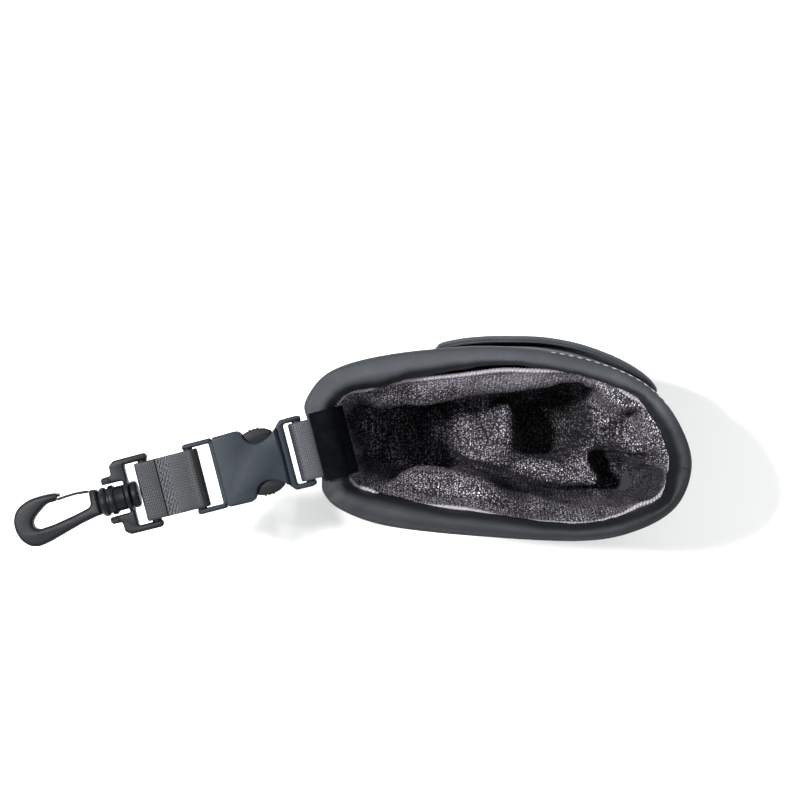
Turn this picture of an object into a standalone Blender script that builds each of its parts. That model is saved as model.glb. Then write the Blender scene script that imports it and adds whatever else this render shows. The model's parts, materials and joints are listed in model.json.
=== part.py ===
"""A treat pouch: a sewn open-mouthed bag with a glitter lining, and a clip strap of a
side-release buckle, a short webbing and a swivel snap hook.

Z is up and metres are used throughout. The origin is the middle of the pouch's flat base,
+X runs along the mouth away from the clip strap and +Y is the pouch's back.
"""

import math

import bmesh
import bpy
from mathutils import Matrix, Vector

MM = 0.001
GAP = 0.3 * MM

# The pouch
RIM_TOP = 95.2 * MM
SHELL_DEPTH = 0.2 * MM
SHELL_THICK = 1.2 * MM
BAND_THICK = 1.0 * MM
LINING_THICK = 0.8 * MM
LINING_DEPTH = 2.6 * MM
LINING_FLOOR = 3.6 * MM
BASE_THICK = 1.4 * MM
BASE_HALF_LENGTH = 50.0 * MM
BASE_HALF_DEPTH = 22.0 * MM
BASE_SQUARENESS = 2.7
BASE_CENTRE = Vector((0.0, -1.0 * MM))
BACK_BULGE = 2.6 * MM
BULGE_HEIGHT = 0.72
BULGE_SPREAD = 0.22
BULGE_CENTRE = 24.0 * MM
BULGE_HALF_LENGTH = 46.0 * MM
POCKET_SPAN = (1.9, 5.4)
POCKET_THICK = 1.0 * MM
POCKET_STAND_OFF = 1.4 * MM
HEM_RADIUS = 1.0 * MM
HEM_HEIGHT = 80.5 * MM
SEAM_SLACK = 0.035

# The mouth, seen from above, anticlockwise: its back edge from the right seam to the left
# one, then its front edge. The left end is flat where the webbing crosses it.
BACK_EDGE = [
    (65.2, -9.0),
    (62.8, 3.0),
    (54.5, 15.5),
    (41.0, 24.0),
    (19.0, 30.0),
    (-8.0, 32.0),
    (-36.0, 29.6),
    (-55.5, 24.0),
    (-64.0, 14.0),
    (-63.0, 6.5),
]
FRONT_EDGE = [
    (-60.9, -1.8),
    (-58.7, -10.5),
    (-57.8, -17.0),
    (-51.5, -22.8),
    (-36.0, -28.0),
    (-8.0, -31.2),
    (28.0, -32.9),
    (47.0, -29.4),
    (60.0, -21.5),
]
SPINE_LEFT = Vector((-32.0 * MM, 1.0 * MM))
SPINE_RIGHT = Vector((36.0 * MM, -4.0 * MM))

# The clip strap. Its own X runs from the hook to the pouch, and its bars lie along Y.
CLIP_PLACE = Vector((-120.2 * MM, -17.0 * MM, 95.6 * MM))
CLIP_TURN = math.radians(14.4)
WEB_HALF_WIDTH = 9.9 * MM
WEB_THICK = 1.2 * MM
BAR_RADIUS = 1.6 * MM
EYE_RADIUS = BAR_RADIUS + GAP
LOOP_RADIUS = EYE_RADIUS + WEB_THICK
PLY_HALF = 1.3 * MM
BASE_BAR_X = 4.7 * MM
INSERT_BAR_X = 20.3 * MM
SOCKET_BAR_X = 57.6 * MM
PLATE_HALF = 2.2 * MM
SOCKET_HALF = 4.2 * MM
CAVITY_HALF = 2.7 * MM
PRONG_PIVOT = Vector((32.2 * MM, 8.4 * MM, 0.0))
GATE_PIVOT = Vector((-15.8 * MM, 4.8 * MM, 0.0))
STUD_BORE = 2.6 * MM

BAG_STEPS = 3

# Profiles of the bag's wall, from heights in millimetres.
SHELL_HEIGHTS = [1.7, 6.0, 14.0, 28.0, 45.0, 60.0, 74.0, 84.0, 91.0]
POCKET_HEIGHTS = [14.0, 28.0, 44.0, 58.0, 70.0, 80.0]

# The rolled rim: up the outside, over the top and down the inside, as (height, share of its width).
BAND_ROLL = [
    (91.4, 0.01),
    (93.6, 0.0),
    (94.8, 0.1),
    (95.2, 0.28),
    (94.8, 0.46),
    (93.2, 0.59),
    (88.0, 0.8),
    (82.0, 1.0),
]

# The lining: (height, share of the way from its rest depth to its sewn edge, further depth).
LINING_FALL = [
    (79.0, 1.0, 0.0),
    (73.0, 0.55, 0.0),
    (66.0, 0.2, 0.0),
    (54.0, 0.0, 0.0),
    (38.0, 0.0, 0.0),
    (22.0, 0.0, 0.0),
    (10.0, 0.0, 0.2),
    (4.8, 0.0, 0.6),
]

BLACK_CLOTH = ((0.055, 0.06, 0.068), 0.75)
LINING_CLOTH = ((0.11, 0.1, 0.12), 0.6)
HEM_THREAD = ((0.3, 0.29, 0.32), 0.8)
WEBBING = ((0.075, 0.085, 0.1), 0.6)
PLASTIC = ((0.055, 0.07, 0.085), 0.42)


def clear_scene():
    for item in list(bpy.data.objects):
        bpy.data.objects.remove(item)


def new_collection(name):
    group = bpy.data.collections.new(name)
    bpy.context.scene.collection.children.link(group)
    return group


def finish_material(name, look):
    colour, roughness = look
    material = bpy.data.materials.new(name)
    material.use_nodes = True
    shader = material.node_tree.nodes["Principled BSDF"]
    shader.inputs["Base Color"].default_value = (*colour, 1.0)
    shader.inputs["Roughness"].default_value = roughness
    shader.inputs["Metallic"].default_value = 0.0
    return material


def add_part(name, mesh, look, parent=None, place=None):
    """A named object holding mesh, with its own material, in the pouch's collection."""
    part = bpy.data.objects.new(name, mesh)
    PARTS.objects.link(part)
    mesh.materials.clear()
    mesh.materials.append(finish_material(name + "_finish", look))
    if parent is not None:
        part.parent = parent
    if place is not None:
        part.location = place
    return part


def add_empty(name, location, turn=0.0, parent=None):
    empty = bpy.data.objects.new(name, None)
    PARTS.objects.link(empty)
    empty.location = location
    empty.rotation_euler = (0.0, 0.0, turn)
    empty.parent = parent
    return empty


def smooth_shading(mesh, angle=35.0):
    mesh.shade_smooth()
    mesh.set_sharp_from_angle(angle=math.radians(angle))


def union(part, other):
    joined = part.modifiers.new("join_" + other.name, "BOOLEAN")
    joined.operation = "UNION"
    joined.object = other


def cut(part, other):
    trimmed = part.modifiers.new("cut_" + other.name, "BOOLEAN")
    trimmed.operation = "DIFFERENCE"
    trimmed.object = other


def as_cutter(name, mesh, parent):
    cutter = bpy.data.objects.new(name, mesh)
    CUTTERS.objects.link(cutter)
    cutter.parent = parent
    cutter.hide_render = True
    cutter.display_type = "WIRE"
    return cutter


# Meshes made at their own origin


def box_mesh(name, low, high):
    low, high = Vector(low), Vector(high)
    body = bmesh.new()
    bmesh.ops.create_cube(body, size=1.0)
    size = high - low
    bmesh.ops.scale(body, vec=size, verts=body.verts)
    bmesh.ops.translate(body, vec=(low + high) / 2, verts=body.verts)
    mesh = bpy.data.meshes.new(name)
    body.to_mesh(mesh)
    body.free()
    return mesh


def rod_mesh(name, radius, start, end, sides=20):
    """A cylinder between two points."""
    start, end = Vector(start), Vector(end)
    body = bmesh.new()
    bmesh.ops.create_cone(
        body,
        cap_ends=True,
        segments=sides,
        radius1=radius,
        radius2=radius,
        depth=(end - start).length,
    )
    turn = (end - start).to_track_quat("Z", "Y").to_matrix().to_4x4()
    body.transform(Matrix.Translation((start + end) / 2) @ turn)
    mesh = bpy.data.meshes.new(name)
    body.to_mesh(mesh)
    body.free()
    smooth_shading(mesh)
    return mesh


def outline_mesh(name, loops, half, upright=False, steps=3):
    """A flat outline, with any holes as further loops, given half its thickness.

    A point is (x, y) where the outline turns smoothly and (x, y, True) at a corner.
    An upright outline stands in the XZ plane and gets its thickness along Y.
    """
    curve = bpy.data.curves.new(name, "CURVE")
    curve.dimensions = "2D"
    curve.fill_mode = "BOTH"
    curve.extrude = half
    curve.resolution_u = steps
    for loop in loops:
        spline = curve.splines.new("BEZIER")
        spline.bezier_points.add(len(loop) - 1)
        spline.use_cyclic_u = True
        for knot, point in zip(spline.bezier_points, loop):
            kind = "VECTOR" if len(point) > 2 else "AUTO"
            knot.co = (point[0] * MM, point[1] * MM, 0.0)
            knot.handle_left_type = kind
            knot.handle_right_type = kind
    return welded_mesh(name, curve, upright)


def arc(centre, radius, start, end, count):
    """Points in millimetres along part of a circle, as corners; angles in degrees."""
    points = []
    for step in range(count + 1):
        angle = math.radians(start + (end - start) * step / count)
        x = centre[0] + radius * math.cos(angle)
        y = centre[1] + radius * math.sin(angle)
        points.append((x, y, True))
    return points


def welded_mesh(name, curve, upright=False):
    """A curve's shape as a closed mesh, with its loose caps joined."""
    holder = bpy.data.objects.new(name + "_curve", curve)
    bpy.context.scene.collection.objects.link(holder)
    bpy.context.view_layer.update()
    graph = bpy.context.evaluated_depsgraph_get()
    mesh = bpy.data.meshes.new_from_object(holder.evaluated_get(graph))
    bpy.data.objects.remove(holder)
    body = bmesh.new()
    body.from_mesh(mesh)
    bmesh.ops.remove_doubles(body, verts=body.verts, dist=0.001 * MM)
    if upright:
        body.transform(Matrix.Rotation(math.pi / 2, 4, "X"))
    bmesh.ops.recalc_face_normals(body, faces=body.faces)
    body.to_mesh(mesh)
    body.free()
    smooth_shading(mesh)
    return mesh


# The bag's shape


def mouth_point(turn):
    """The mouth's edge at turn, counted in control points from the right seam."""
    points = BACK_EDGE + FRONT_EDGE
    count = len(points)
    index = math.floor(turn)
    share = turn - index
    a, b, c, d = (Vector(points[(index + k) % count]) for k in (-1, 0, 1, 2))
    bend = 2 * b + (c - a) * share
    bend += (2 * a - 5 * b + 4 * c - d) * share**2
    bend += (3 * b - a - 3 * c + d) * share**3
    return bend * 0.5 * MM


def towards_spine(point):
    """The direction from a point of the outline to the nearest place on the bag's middle line."""
    along = SPINE_RIGHT - SPINE_LEFT
    share = (point - SPINE_LEFT).dot(along) / along.length_squared
    nearest = SPINE_LEFT + along * min(1.0, max(0.0, share))
    return (nearest - point).normalized()


def base_point(point):
    """The base's edge, a squared oval, in the direction of a point of the mouth."""
    angle = math.atan2(point.y / BASE_HALF_DEPTH, point.x / BASE_HALF_LENGTH)
    power = 2.0 / BASE_SQUARENESS
    x = math.copysign(abs(math.cos(angle)) ** power, math.cos(angle))
    y = math.copysign(abs(math.sin(angle)) ** power, math.sin(angle))
    return BASE_CENTRE + Vector((x * BASE_HALF_LENGTH, y * BASE_HALF_DEPTH))


def back_share(point):
    """How far a point belongs to the bulging right half of the back, from 0 to 1."""
    if point.y <= 0.0:
        return 0.0
    across = (point.x - BULGE_CENTRE) / BULGE_HALF_LENGTH
    return max(0.0, 1.0 - across**2) * min(1.0, point.y / (18.0 * MM))


def wall_point(turn, height, depth):
    """A point of the bag's wall, depth inside its outer face."""
    mouth = mouth_point(turn)
    level = min(1.0, height / RIM_TOP)
    spread = math.sin(math.pi / 2 * level**0.8)
    flat = base_point(mouth).lerp(mouth, spread)
    hump = math.exp(-(((level - BULGE_HEIGHT) / BULGE_SPREAD) ** 2))
    flat.y += BACK_BULGE * hump * back_share(mouth)
    flat += towards_spine(flat) * depth
    return Vector((flat.x, flat.y, height))


def band_width(turn):
    """The rolled rim's width seen from above: widest at the left end and least at the right."""
    mouth = mouth_point(turn)
    around = math.atan2(mouth.y, mouth.x)
    return (7.6 + 0.9 * math.sin(around) - 2.2 * math.cos(around)) * MM


def wall_mesh(name, start, end, profile):
    """An open sheet along the wall from turn start to turn end, with Solidify to come.

    profile gives the (height, depth) pairs at a turn, and the sheet faces left of the way
    it runs, so a profile that rises faces outwards.
    """
    count = round((end - start) * BAG_STEPS)
    body = bmesh.new()
    rows = []
    for step in range(count + 1):
        turn = start + (end - start) * step / count
        row = [body.verts.new(wall_point(turn, *pair)) for pair in profile(turn)]
        rows.append(row)
    for here, there in zip(rows, rows[1:]):
        for low in range(len(here) - 1):
            body.faces.new((here[low], there[low], there[low + 1], here[low + 1]))
    mesh = bpy.data.meshes.new(name)
    body.to_mesh(mesh)
    body.free()
    smooth_shading(mesh)
    return mesh


def add_wall(name, span, profile, thickness, look):
    part = add_part(name, wall_mesh(name, *span, profile), look)
    shell = part.modifiers.new("thickness", "SOLIDIFY")
    shell.thickness = thickness
    shell.offset = -1.0
    return part


def shell_profile(turn):
    return [(height * MM, SHELL_DEPTH) for height in SHELL_HEIGHTS]


def band_profile(turn):
    return [(height * MM, band_width(turn) * share) for height, share in BAND_ROLL]


def lining_profile(turn):
    """The lining from its sewn edge, inside the rolled rim, down to the base."""
    reach = band_width(turn) + 0.5 * MM - LINING_DEPTH
    rows = []
    for height, share, further in LINING_FALL:
        rows.append((height * MM, LINING_DEPTH + reach * share + further * MM))
    return rows


def pocket_profile(turn):
    """The slip pocket outside the back, which stands off at its open top edge."""
    start, end = POCKET_SPAN
    foot, top = POCKET_HEIGHTS[0], POCKET_HEIGHTS[-1]
    across = math.sin(math.pi * (turn - start) / (end - start)) ** 0.6
    rows = []
    for height in POCKET_HEIGHTS:
        stand = POCKET_STAND_OFF * across * (height - foot) / (top - foot)
        rows.append((height * MM, SHELL_DEPTH - GAP - POCKET_THICK - stand))
    return rows


def wall_corners(height, depth):
    """Corners of the wall's outline at a height, depth inside its outer face."""
    points = []
    for step in range(2 * (len(BACK_EDGE) + len(FRONT_EDGE))):
        place = wall_point(step / 2, height, depth) / MM
        points.append((place.x, place.y, True))
    return points


def add_plate(name, height, thickness, depth, look):
    loop = wall_corners(height, depth)
    mesh = outline_mesh(name, [loop], thickness / 2, steps=1)
    return add_part(name, mesh, look, place=(0.0, 0.0, height + thickness / 2))


def add_hem():
    """The overlocked edge of the lining, a soft cord right round the mouth."""
    curve = bpy.data.curves.new("lining_hem", "CURVE")
    curve.dimensions = "3D"
    curve.bevel_depth = HEM_RADIUS
    curve.bevel_resolution = 1
    curve.resolution_u = 1
    count = 2 * (len(BACK_EDGE) + len(FRONT_EDGE))
    spline = curve.splines.new("POLY")
    spline.points.add(count - 1)
    spline.use_cyclic_u = True
    for step, knot in enumerate(spline.points):
        turn = step / 2
        place = wall_point(turn, HEM_HEIGHT, band_width(turn) + 0.6 * MM)
        knot.co = (*place, 1.0)
    add_part("lining_hem", welded_mesh("lining_hem", curve), HEM_THREAD)


def add_bag():
    left_seam = len(BACK_EDGE)
    right_seam = left_seam + len(FRONT_EDGE)
    back = (SEAM_SLACK, left_seam - SEAM_SLACK)
    front = (left_seam + SEAM_SLACK, right_seam - SEAM_SLACK)
    for side, span in (("back", back), ("front", front)):
        add_wall(side + "_panel", span, shell_profile, SHELL_THICK, BLACK_CLOTH)
        add_wall("rim_band_" + side, span, band_profile, BAND_THICK, BLACK_CLOTH)
        add_wall("lining_" + side, span, lining_profile, LINING_THICK, LINING_CLOTH)
    add_wall("back_pocket", POCKET_SPAN, pocket_profile, POCKET_THICK, BLACK_CLOTH)
    add_plate("base_panel", 0.0, BASE_THICK, SHELL_DEPTH, BLACK_CLOTH)
    add_plate("lining_base", LINING_FLOOR, LINING_THICK, LINING_DEPTH, LINING_CLOTH)
    add_hem()


# The clip strap


def cross_bar(name, x, half_width, parent):
    mesh = rod_mesh(name, BAR_RADIUS, (x, -half_width, 0.0), (x, half_width, 0.0))
    return as_cutter(name, mesh, parent)


def eye(x):
    """The hole of a webbing loop round a bar."""
    return arc((x / MM, 0.0), EYE_RADIUS / MM, 0.0, 345.0, 23)


def add_loop_webbing(parent):
    """Webbing round the socket's bar, then over the rim and down inside, where it is sewn."""
    outer = arc((SOCKET_BAR_X / MM, 0.0), LOOP_RADIUS / MM, 340.0, 90.0, 16)
    over = [(60.9, 2.8), (64.0, 1.55), (66.8, 1.0), (68.9, -1.7), (70.9, -7.0), (73.0, -13.4, True)]
    under = [(71.8, -13.8, True), (69.8, -7.3), (67.7, -2.2), (66.2, 0.0), (63.6, 0.25), (61.0, 0.6)]
    loop = outer + over + under
    half = WEB_HALF_WIDTH
    mesh = outline_mesh("loop_webbing", [loop, eye(SOCKET_BAR_X)], half, upright=True)
    add_part("loop_webbing", mesh, WEBBING, parent)


def add_strap(parent):
    """Doubled webbing with an eye at each end, one round each bar."""
    waist = math.degrees(math.asin(PLY_HALF / LOOP_RADIUS))
    near = arc((BASE_BAR_X / MM, 0.0), LOOP_RADIUS / MM, waist, 360.0 - waist, 18)
    far = arc((INSERT_BAR_X / MM, 0.0), LOOP_RADIUS / MM, waist - 180.0, 180.0 - waist, 18)
    loops = [near + far, eye(BASE_BAR_X), eye(INSERT_BAR_X)]
    mesh = outline_mesh("strap_webbing", loops, WEB_HALF_WIDTH, upright=True)
    add_part("strap_webbing", mesh, WEBBING, parent)


def mirrored(points):
    """The points and, in reverse order, their mirror images across the strap's middle line."""
    return points + [(x, -y, *rest) for x, y, *rest in reversed(points)]


def add_socket(parent):
    """The buckle's hollow half, with a scalloped opening on each side for the prongs."""
    half = [(29.0, 11.4, True), (29.5, 11.9, True), (37.6, 12.1, True), (38.9, 10.7)]
    half += [(39.9, 8.1), (42.6, 6.4), (45.8, 6.8), (49.0, 8.6), (50.6, 10.0, True)]
    mesh = outline_mesh("buckle_socket", [mirrored(half)], SOCKET_HALF)
    socket = add_part("buckle_socket", mesh, PLASTIC, parent)
    softened = socket.modifiers.new("edges", "BEVEL")
    softened.width = 0.7 * MM
    softened.segments = 1
    tail = [(49.2, 8.9, True), (50.8, 10.4, True), (52.4, 12.0, True), (58.4, 12.0, True)]
    tail += [(59.4, 11.2, True), (59.4, 10.3, True), (56.8, 10.3, True)]
    frame = outline_mesh("socket_tail", [mirrored(tail)], PLATE_HALF)
    union(socket, as_cutter("socket_tail", frame, parent))
    window = box_mesh(
        "socket_window",
        (52.9 * MM, -10.3 * MM, -9.0 * MM),
        (60.0 * MM, 10.3 * MM, 9.0 * MM),
    )
    cut(socket, as_cutter("socket_window", window, parent))
    union(socket, cross_bar("socket_bar", SOCKET_BAR_X, 11.0 * MM, parent))
    cavity = box_mesh(
        "socket_cavity",
        (28.0 * MM, -10.9 * MM, -CAVITY_HALF),
        (49.6 * MM, 10.9 * MM, CAVITY_HALF),
    )
    cut(socket, as_cutter("socket_cavity", cavity, parent))


def add_insert(parent):
    """The buckle's plug: a frame for the webbing, and a tongue that guides it home."""
    half = [(18.6, 10.3, True), (18.6, 11.6, True), (19.1, 12.1, True), (28.7, 12.0, True)]
    half += [(28.7, 10.6, True), (31.6, 10.6, True), (31.6, 2.4, True), (33.0, 1.7, True)]
    half += [(45.4, 1.6, True), (46.2, 0.9, True)]
    inner = [(27.6, 10.3, True)]
    loop = half + [(x, -y, *rest) for x, y, *rest in reversed(half)]
    loop += [(x, -y, *rest) for x, y, *rest in inner] + inner
    mesh = outline_mesh("buckle_insert", [loop], PLATE_HALF)
    insert = add_part("buckle_insert", mesh, PLASTIC, parent)
    union(insert, cross_bar("insert_bar", INSERT_BAR_X, 11.0 * MM, parent))


def add_prong(name, side, parent):
    """A sprung arm whose pad fills the socket's side opening. Its origin is at its root."""
    points = [(31.9, 7.4, True), (31.9, 9.4, True), (38.4, 9.0, True), (39.3, 10.5, True)]
    points += [(41.5, 11.1), (44.0, 11.3), (46.8, 10.7), (49.0, 9.4, True), (49.0, 8.7, True)]
    points += [(45.0, 7.6), (40.0, 7.4, True)]
    pivot = Vector((PRONG_PIVOT.x, side * PRONG_PIVOT.y, 0.0))
    loop = [(x - pivot.x / MM, side * y - pivot.y / MM, *rest) for x, y, *rest in points]
    mesh = outline_mesh(name, [loop], PLATE_HALF)
    add_part(name, mesh, PLASTIC, parent, place=pivot)


def add_hook_base(parent):
    """The frame that holds the webbing and, in its collar, the swivelling hook."""
    half = [(6.5, 10.4, True), (6.5, 12.2, True), (6.0, 12.7, True), (-5.0, 12.7, True)]
    half += [(-6.5, 11.4, True), (-6.5, 7.9, True), (-9.6, 7.9, True), (-10.2, 7.3, True)]
    half += [(-10.2, 5.4, True), (-3.0, 5.4, True)]
    inner = [(-1.5, 10.4, True)]
    loop = half + [(x, -y, *rest) for x, y, *rest in reversed(half)]
    loop += [(x, -y, *rest) for x, y, *rest in inner] + inner
    mesh = outline_mesh("hook_base", [loop], PLATE_HALF)
    frame = add_part("hook_base", mesh, PLASTIC, parent)
    flange = rod_mesh("collar", 5.6 * MM, (-3.0 * MM, 0, 0), (-1.5 * MM, 0, 0), 24)
    union(frame, as_cutter("collar", flange, parent))
    union(frame, cross_bar("base_bar", BASE_BAR_X, 11.5 * MM, parent))
    bore = rod_mesh("collar_bore", STUD_BORE, (-4.0 * MM, 0, 0), (-1.0 * MM, 0, 0), 24)
    cut(frame, as_cutter("collar_bore", bore, parent))


def add_stud(parent):
    """The turned stud: a head behind the collar, a neck in its bore, and ribs before it."""
    profile = [(1.0, 0.0), (1.0, 3.9), (0.6, 4.5), (-0.8, 4.5), (-1.2, 4.1), (-1.2, 2.3)]
    profile += [(-3.3, 2.3), (-3.3, 4.1), (-6.6, 4.2), (-7.0, 4.9), (-8.6, 4.9), (-9.0, 4.2)]
    profile += [(-9.5, 4.2), (-9.9, 4.9), (-11.4, 4.9), (-12.0, 4.2), (-12.0, 0.0)]
    body = bmesh.new()
    knots = [body.verts.new((r * MM, 0.0, -x * MM)) for x, r in reversed(profile)]
    for here, there in zip(knots, knots[1:]):
        body.edges.new((here, there))
    mesh = bpy.data.meshes.new("swivel_stud")
    body.to_mesh(mesh)
    body.free()
    stud = add_part("swivel_stud", mesh, PLASTIC, parent)
    stud.rotation_euler = (0.0, -math.pi / 2, 0.0)
    turned = stud.modifiers.new("turned", "SCREW")
    turned.steps = 24
    turned.render_steps = 24
    turned.use_merge_vertices = True
    turned.merge_threshold = 0.01 * MM


def add_hook(parent):
    """The hook's C-shaped body, whose nose has a notch that the gate closes against."""
    points = [(-12.3, -3.9, True), (-14.2, -3.9, True), (-19.5, -5.0), (-24.6, -6.4)]
    points += [(-32.0, -8.5), (-35.4, -9.0), (-38.2, -8.1), (-40.6, -5.6), (-41.7, -2.2)]
    points += [(-41.6, 1.2), (-40.4, 3.9), (-38.0, 5.9), (-34.6, 7.1), (-30.4, 7.4)]
    points += [(-26.1, 7.1, True), (-24.5, 6.0, True), (-24.8, 5.6, True), (-26.0, 5.6, True)]
    points += [(-26.2, 4.2, True), (-29.2, 4.3), (-30.6, 3.6), (-33.8, 1.4), (-35.4, -0.4)]
    points += [(-35.5, -2.2), (-34.0, -3.4), (-28.6, -3.0), (-21.0, -1.6), (-15.4, -0.3, True)]
    points += [(-15.0, 4.6, True), (-14.4, 5.2, True), (-12.8, 5.0, True), (-12.3, 4.4, True)]
    mesh = outline_mesh("hook_body", [points], 2.5 * MM, steps=2)
    hook = add_part("hook_body", mesh, PLASTIC, parent)
    softened = hook.modifiers.new("edges", "BEVEL")
    softened.width = 0.8 * MM
    softened.segments = 1
    softened.limit_method = "ANGLE"
    softened.angle_limit = math.radians(60.0)


def add_gate(parent):
    """The springy leaf that closes the hook. Its origin is at its root."""
    top = [(-15.3, 5.2, True), (-19.3, 5.6), (-22.5, 5.5), (-25.7, 5.2, True)]
    under = [(-25.7, 4.3, True), (-22.5, 4.6), (-19.3, 4.7), (-15.3, 4.3, True)]
    loop = [(x - GATE_PIVOT.x / MM, y - GATE_PIVOT.y / MM, *rest) for x, y, *rest in top + under]
    mesh = outline_mesh("hook_gate", [loop], 2.1 * MM)
    add_part("hook_gate", mesh, PLASTIC, parent, place=GATE_PIVOT)


def add_clip_strap():
    axis = add_empty("clip_axis", CLIP_PLACE, CLIP_TURN)
    add_loop_webbing(axis)
    add_socket(axis)
    add_insert(axis)
    add_prong("prong_back", 1.0, axis)
    add_prong("prong_front", -1.0, axis)
    add_strap(axis)
    add_hook_base(axis)
    add_stud(axis)
    add_hook(axis)
    add_gate(axis)


clear_scene()
PARTS = new_collection("treat_pouch")
CUTTERS = new_collection("cutters")
add_bag()
add_clip_strap()
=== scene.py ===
"""The looks of a treat pouch: a sewn bag with a rolled rim and a glitter-knit lining, and its
clip strap of buckle, webbing and swivel hook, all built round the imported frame.
"""

import json
import math

import bmesh
import bpy
import numpy as np
from mathutils import Matrix, Vector, noise


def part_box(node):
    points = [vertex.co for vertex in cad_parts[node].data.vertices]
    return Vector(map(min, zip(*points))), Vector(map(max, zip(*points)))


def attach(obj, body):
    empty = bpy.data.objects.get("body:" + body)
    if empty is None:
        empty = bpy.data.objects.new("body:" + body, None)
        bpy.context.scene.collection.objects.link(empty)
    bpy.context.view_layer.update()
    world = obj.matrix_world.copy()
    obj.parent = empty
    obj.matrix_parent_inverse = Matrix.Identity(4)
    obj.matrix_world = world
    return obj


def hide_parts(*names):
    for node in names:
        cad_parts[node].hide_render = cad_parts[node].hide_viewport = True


MM = 0.001

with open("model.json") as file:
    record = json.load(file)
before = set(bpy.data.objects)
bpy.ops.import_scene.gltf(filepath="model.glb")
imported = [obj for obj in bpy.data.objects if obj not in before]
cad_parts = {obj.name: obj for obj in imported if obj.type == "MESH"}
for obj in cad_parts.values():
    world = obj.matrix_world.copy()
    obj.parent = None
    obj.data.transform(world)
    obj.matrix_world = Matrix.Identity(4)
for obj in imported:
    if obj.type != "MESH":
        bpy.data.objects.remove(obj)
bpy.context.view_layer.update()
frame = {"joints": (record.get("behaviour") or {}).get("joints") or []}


def joint_place(name):
    return Vector(next(j["pos_m"] for j in frame["joints"] if j["name"] == name))


# Sizes of the bag, as its patterns are cut. The mouth is seen from above, anticlockwise: its
# back edge from the right seam to the left one, then its front edge, in millimetres.

BACK_EDGE = [
    (65.2, -9.0), (62.8, 3.0), (54.5, 15.5), (41.0, 24.0), (19.0, 30.0), (-8.0, 32.0),
    (-36.0, 29.6), (-55.5, 24.0), (-64.0, 14.0), (-63.0, 6.5),
]
FRONT_EDGE = [
    (-60.9, -1.8), (-58.7, -10.5), (-57.8, -17.0), (-51.5, -22.8), (-36.0, -28.0), (-8.0, -31.2),
    (28.0, -32.9), (47.0, -29.4), (60.0, -21.5),
]
MOUTH = np.array(BACK_EDGE + FRONT_EDGE) * MM
RIGHT_SEAM = 0.0
LEFT_SEAM = float(len(BACK_EDGE))
LAST_TURN = float(len(MOUTH))
SPINE_LEFT = np.array((-32.0, 1.0)) * MM
SPINE_RIGHT = np.array((36.0, -4.0)) * MM
BASE_HALF_LENGTH = 50.0 * MM
BASE_HALF_DEPTH = 22.0 * MM
BASE_SQUARENESS = 2.7
BASE_CENTRE = np.array((0.0, -1.0)) * MM
BACK_BULGE = 2.6 * MM
BULGE_HEIGHT = 0.72
RIM_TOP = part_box("rim_band_back")[1].z
BAG_HALVES = (("back", RIGHT_SEAM, LEFT_SEAM), ("front", LEFT_SEAM, LAST_TURN))
STITCH_RADIUS = 0.22 * MM
SEAM_PITCH, SEAM_SHARE = 2.6 * MM, 0.72

# The clip strap's own frame: X from the hook to the pouch, Y along the bars.

CLIP_PLACE = joint_place("hook_swivel")
CLIP_DIRECTION = joint_place("loop_pivot") - CLIP_PLACE
CLIP_TURN = math.atan2(CLIP_DIRECTION.y, CLIP_DIRECTION.x)
CLIP = Matrix.Translation(CLIP_PLACE) @ Matrix.Rotation(CLIP_TURN, 4, "Z")


def along_clip(name):
    """How far along the clip strap a joint lies."""
    return (CLIP.inverted() @ joint_place(name)).x


SOCKET_BAR_X = along_clip("loop_pivot")
INSERT_BAR_X = along_clip("strap_pivot")
BASE_BAR_X = along_clip("hook_frame_pivot")
WEB_HALF_WIDTH = 9.9 * MM
WEB_THICK = 1.2 * MM
BAR_RADIUS = 1.6 * MM
LOOP_RADIUS = 2.5 * MM
TAB_HALF_WIDTH = 11.6 * MM
TAB_THICK = 0.9 * MM
SHARP_ANGLE = math.radians(38)


# Materials


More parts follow.
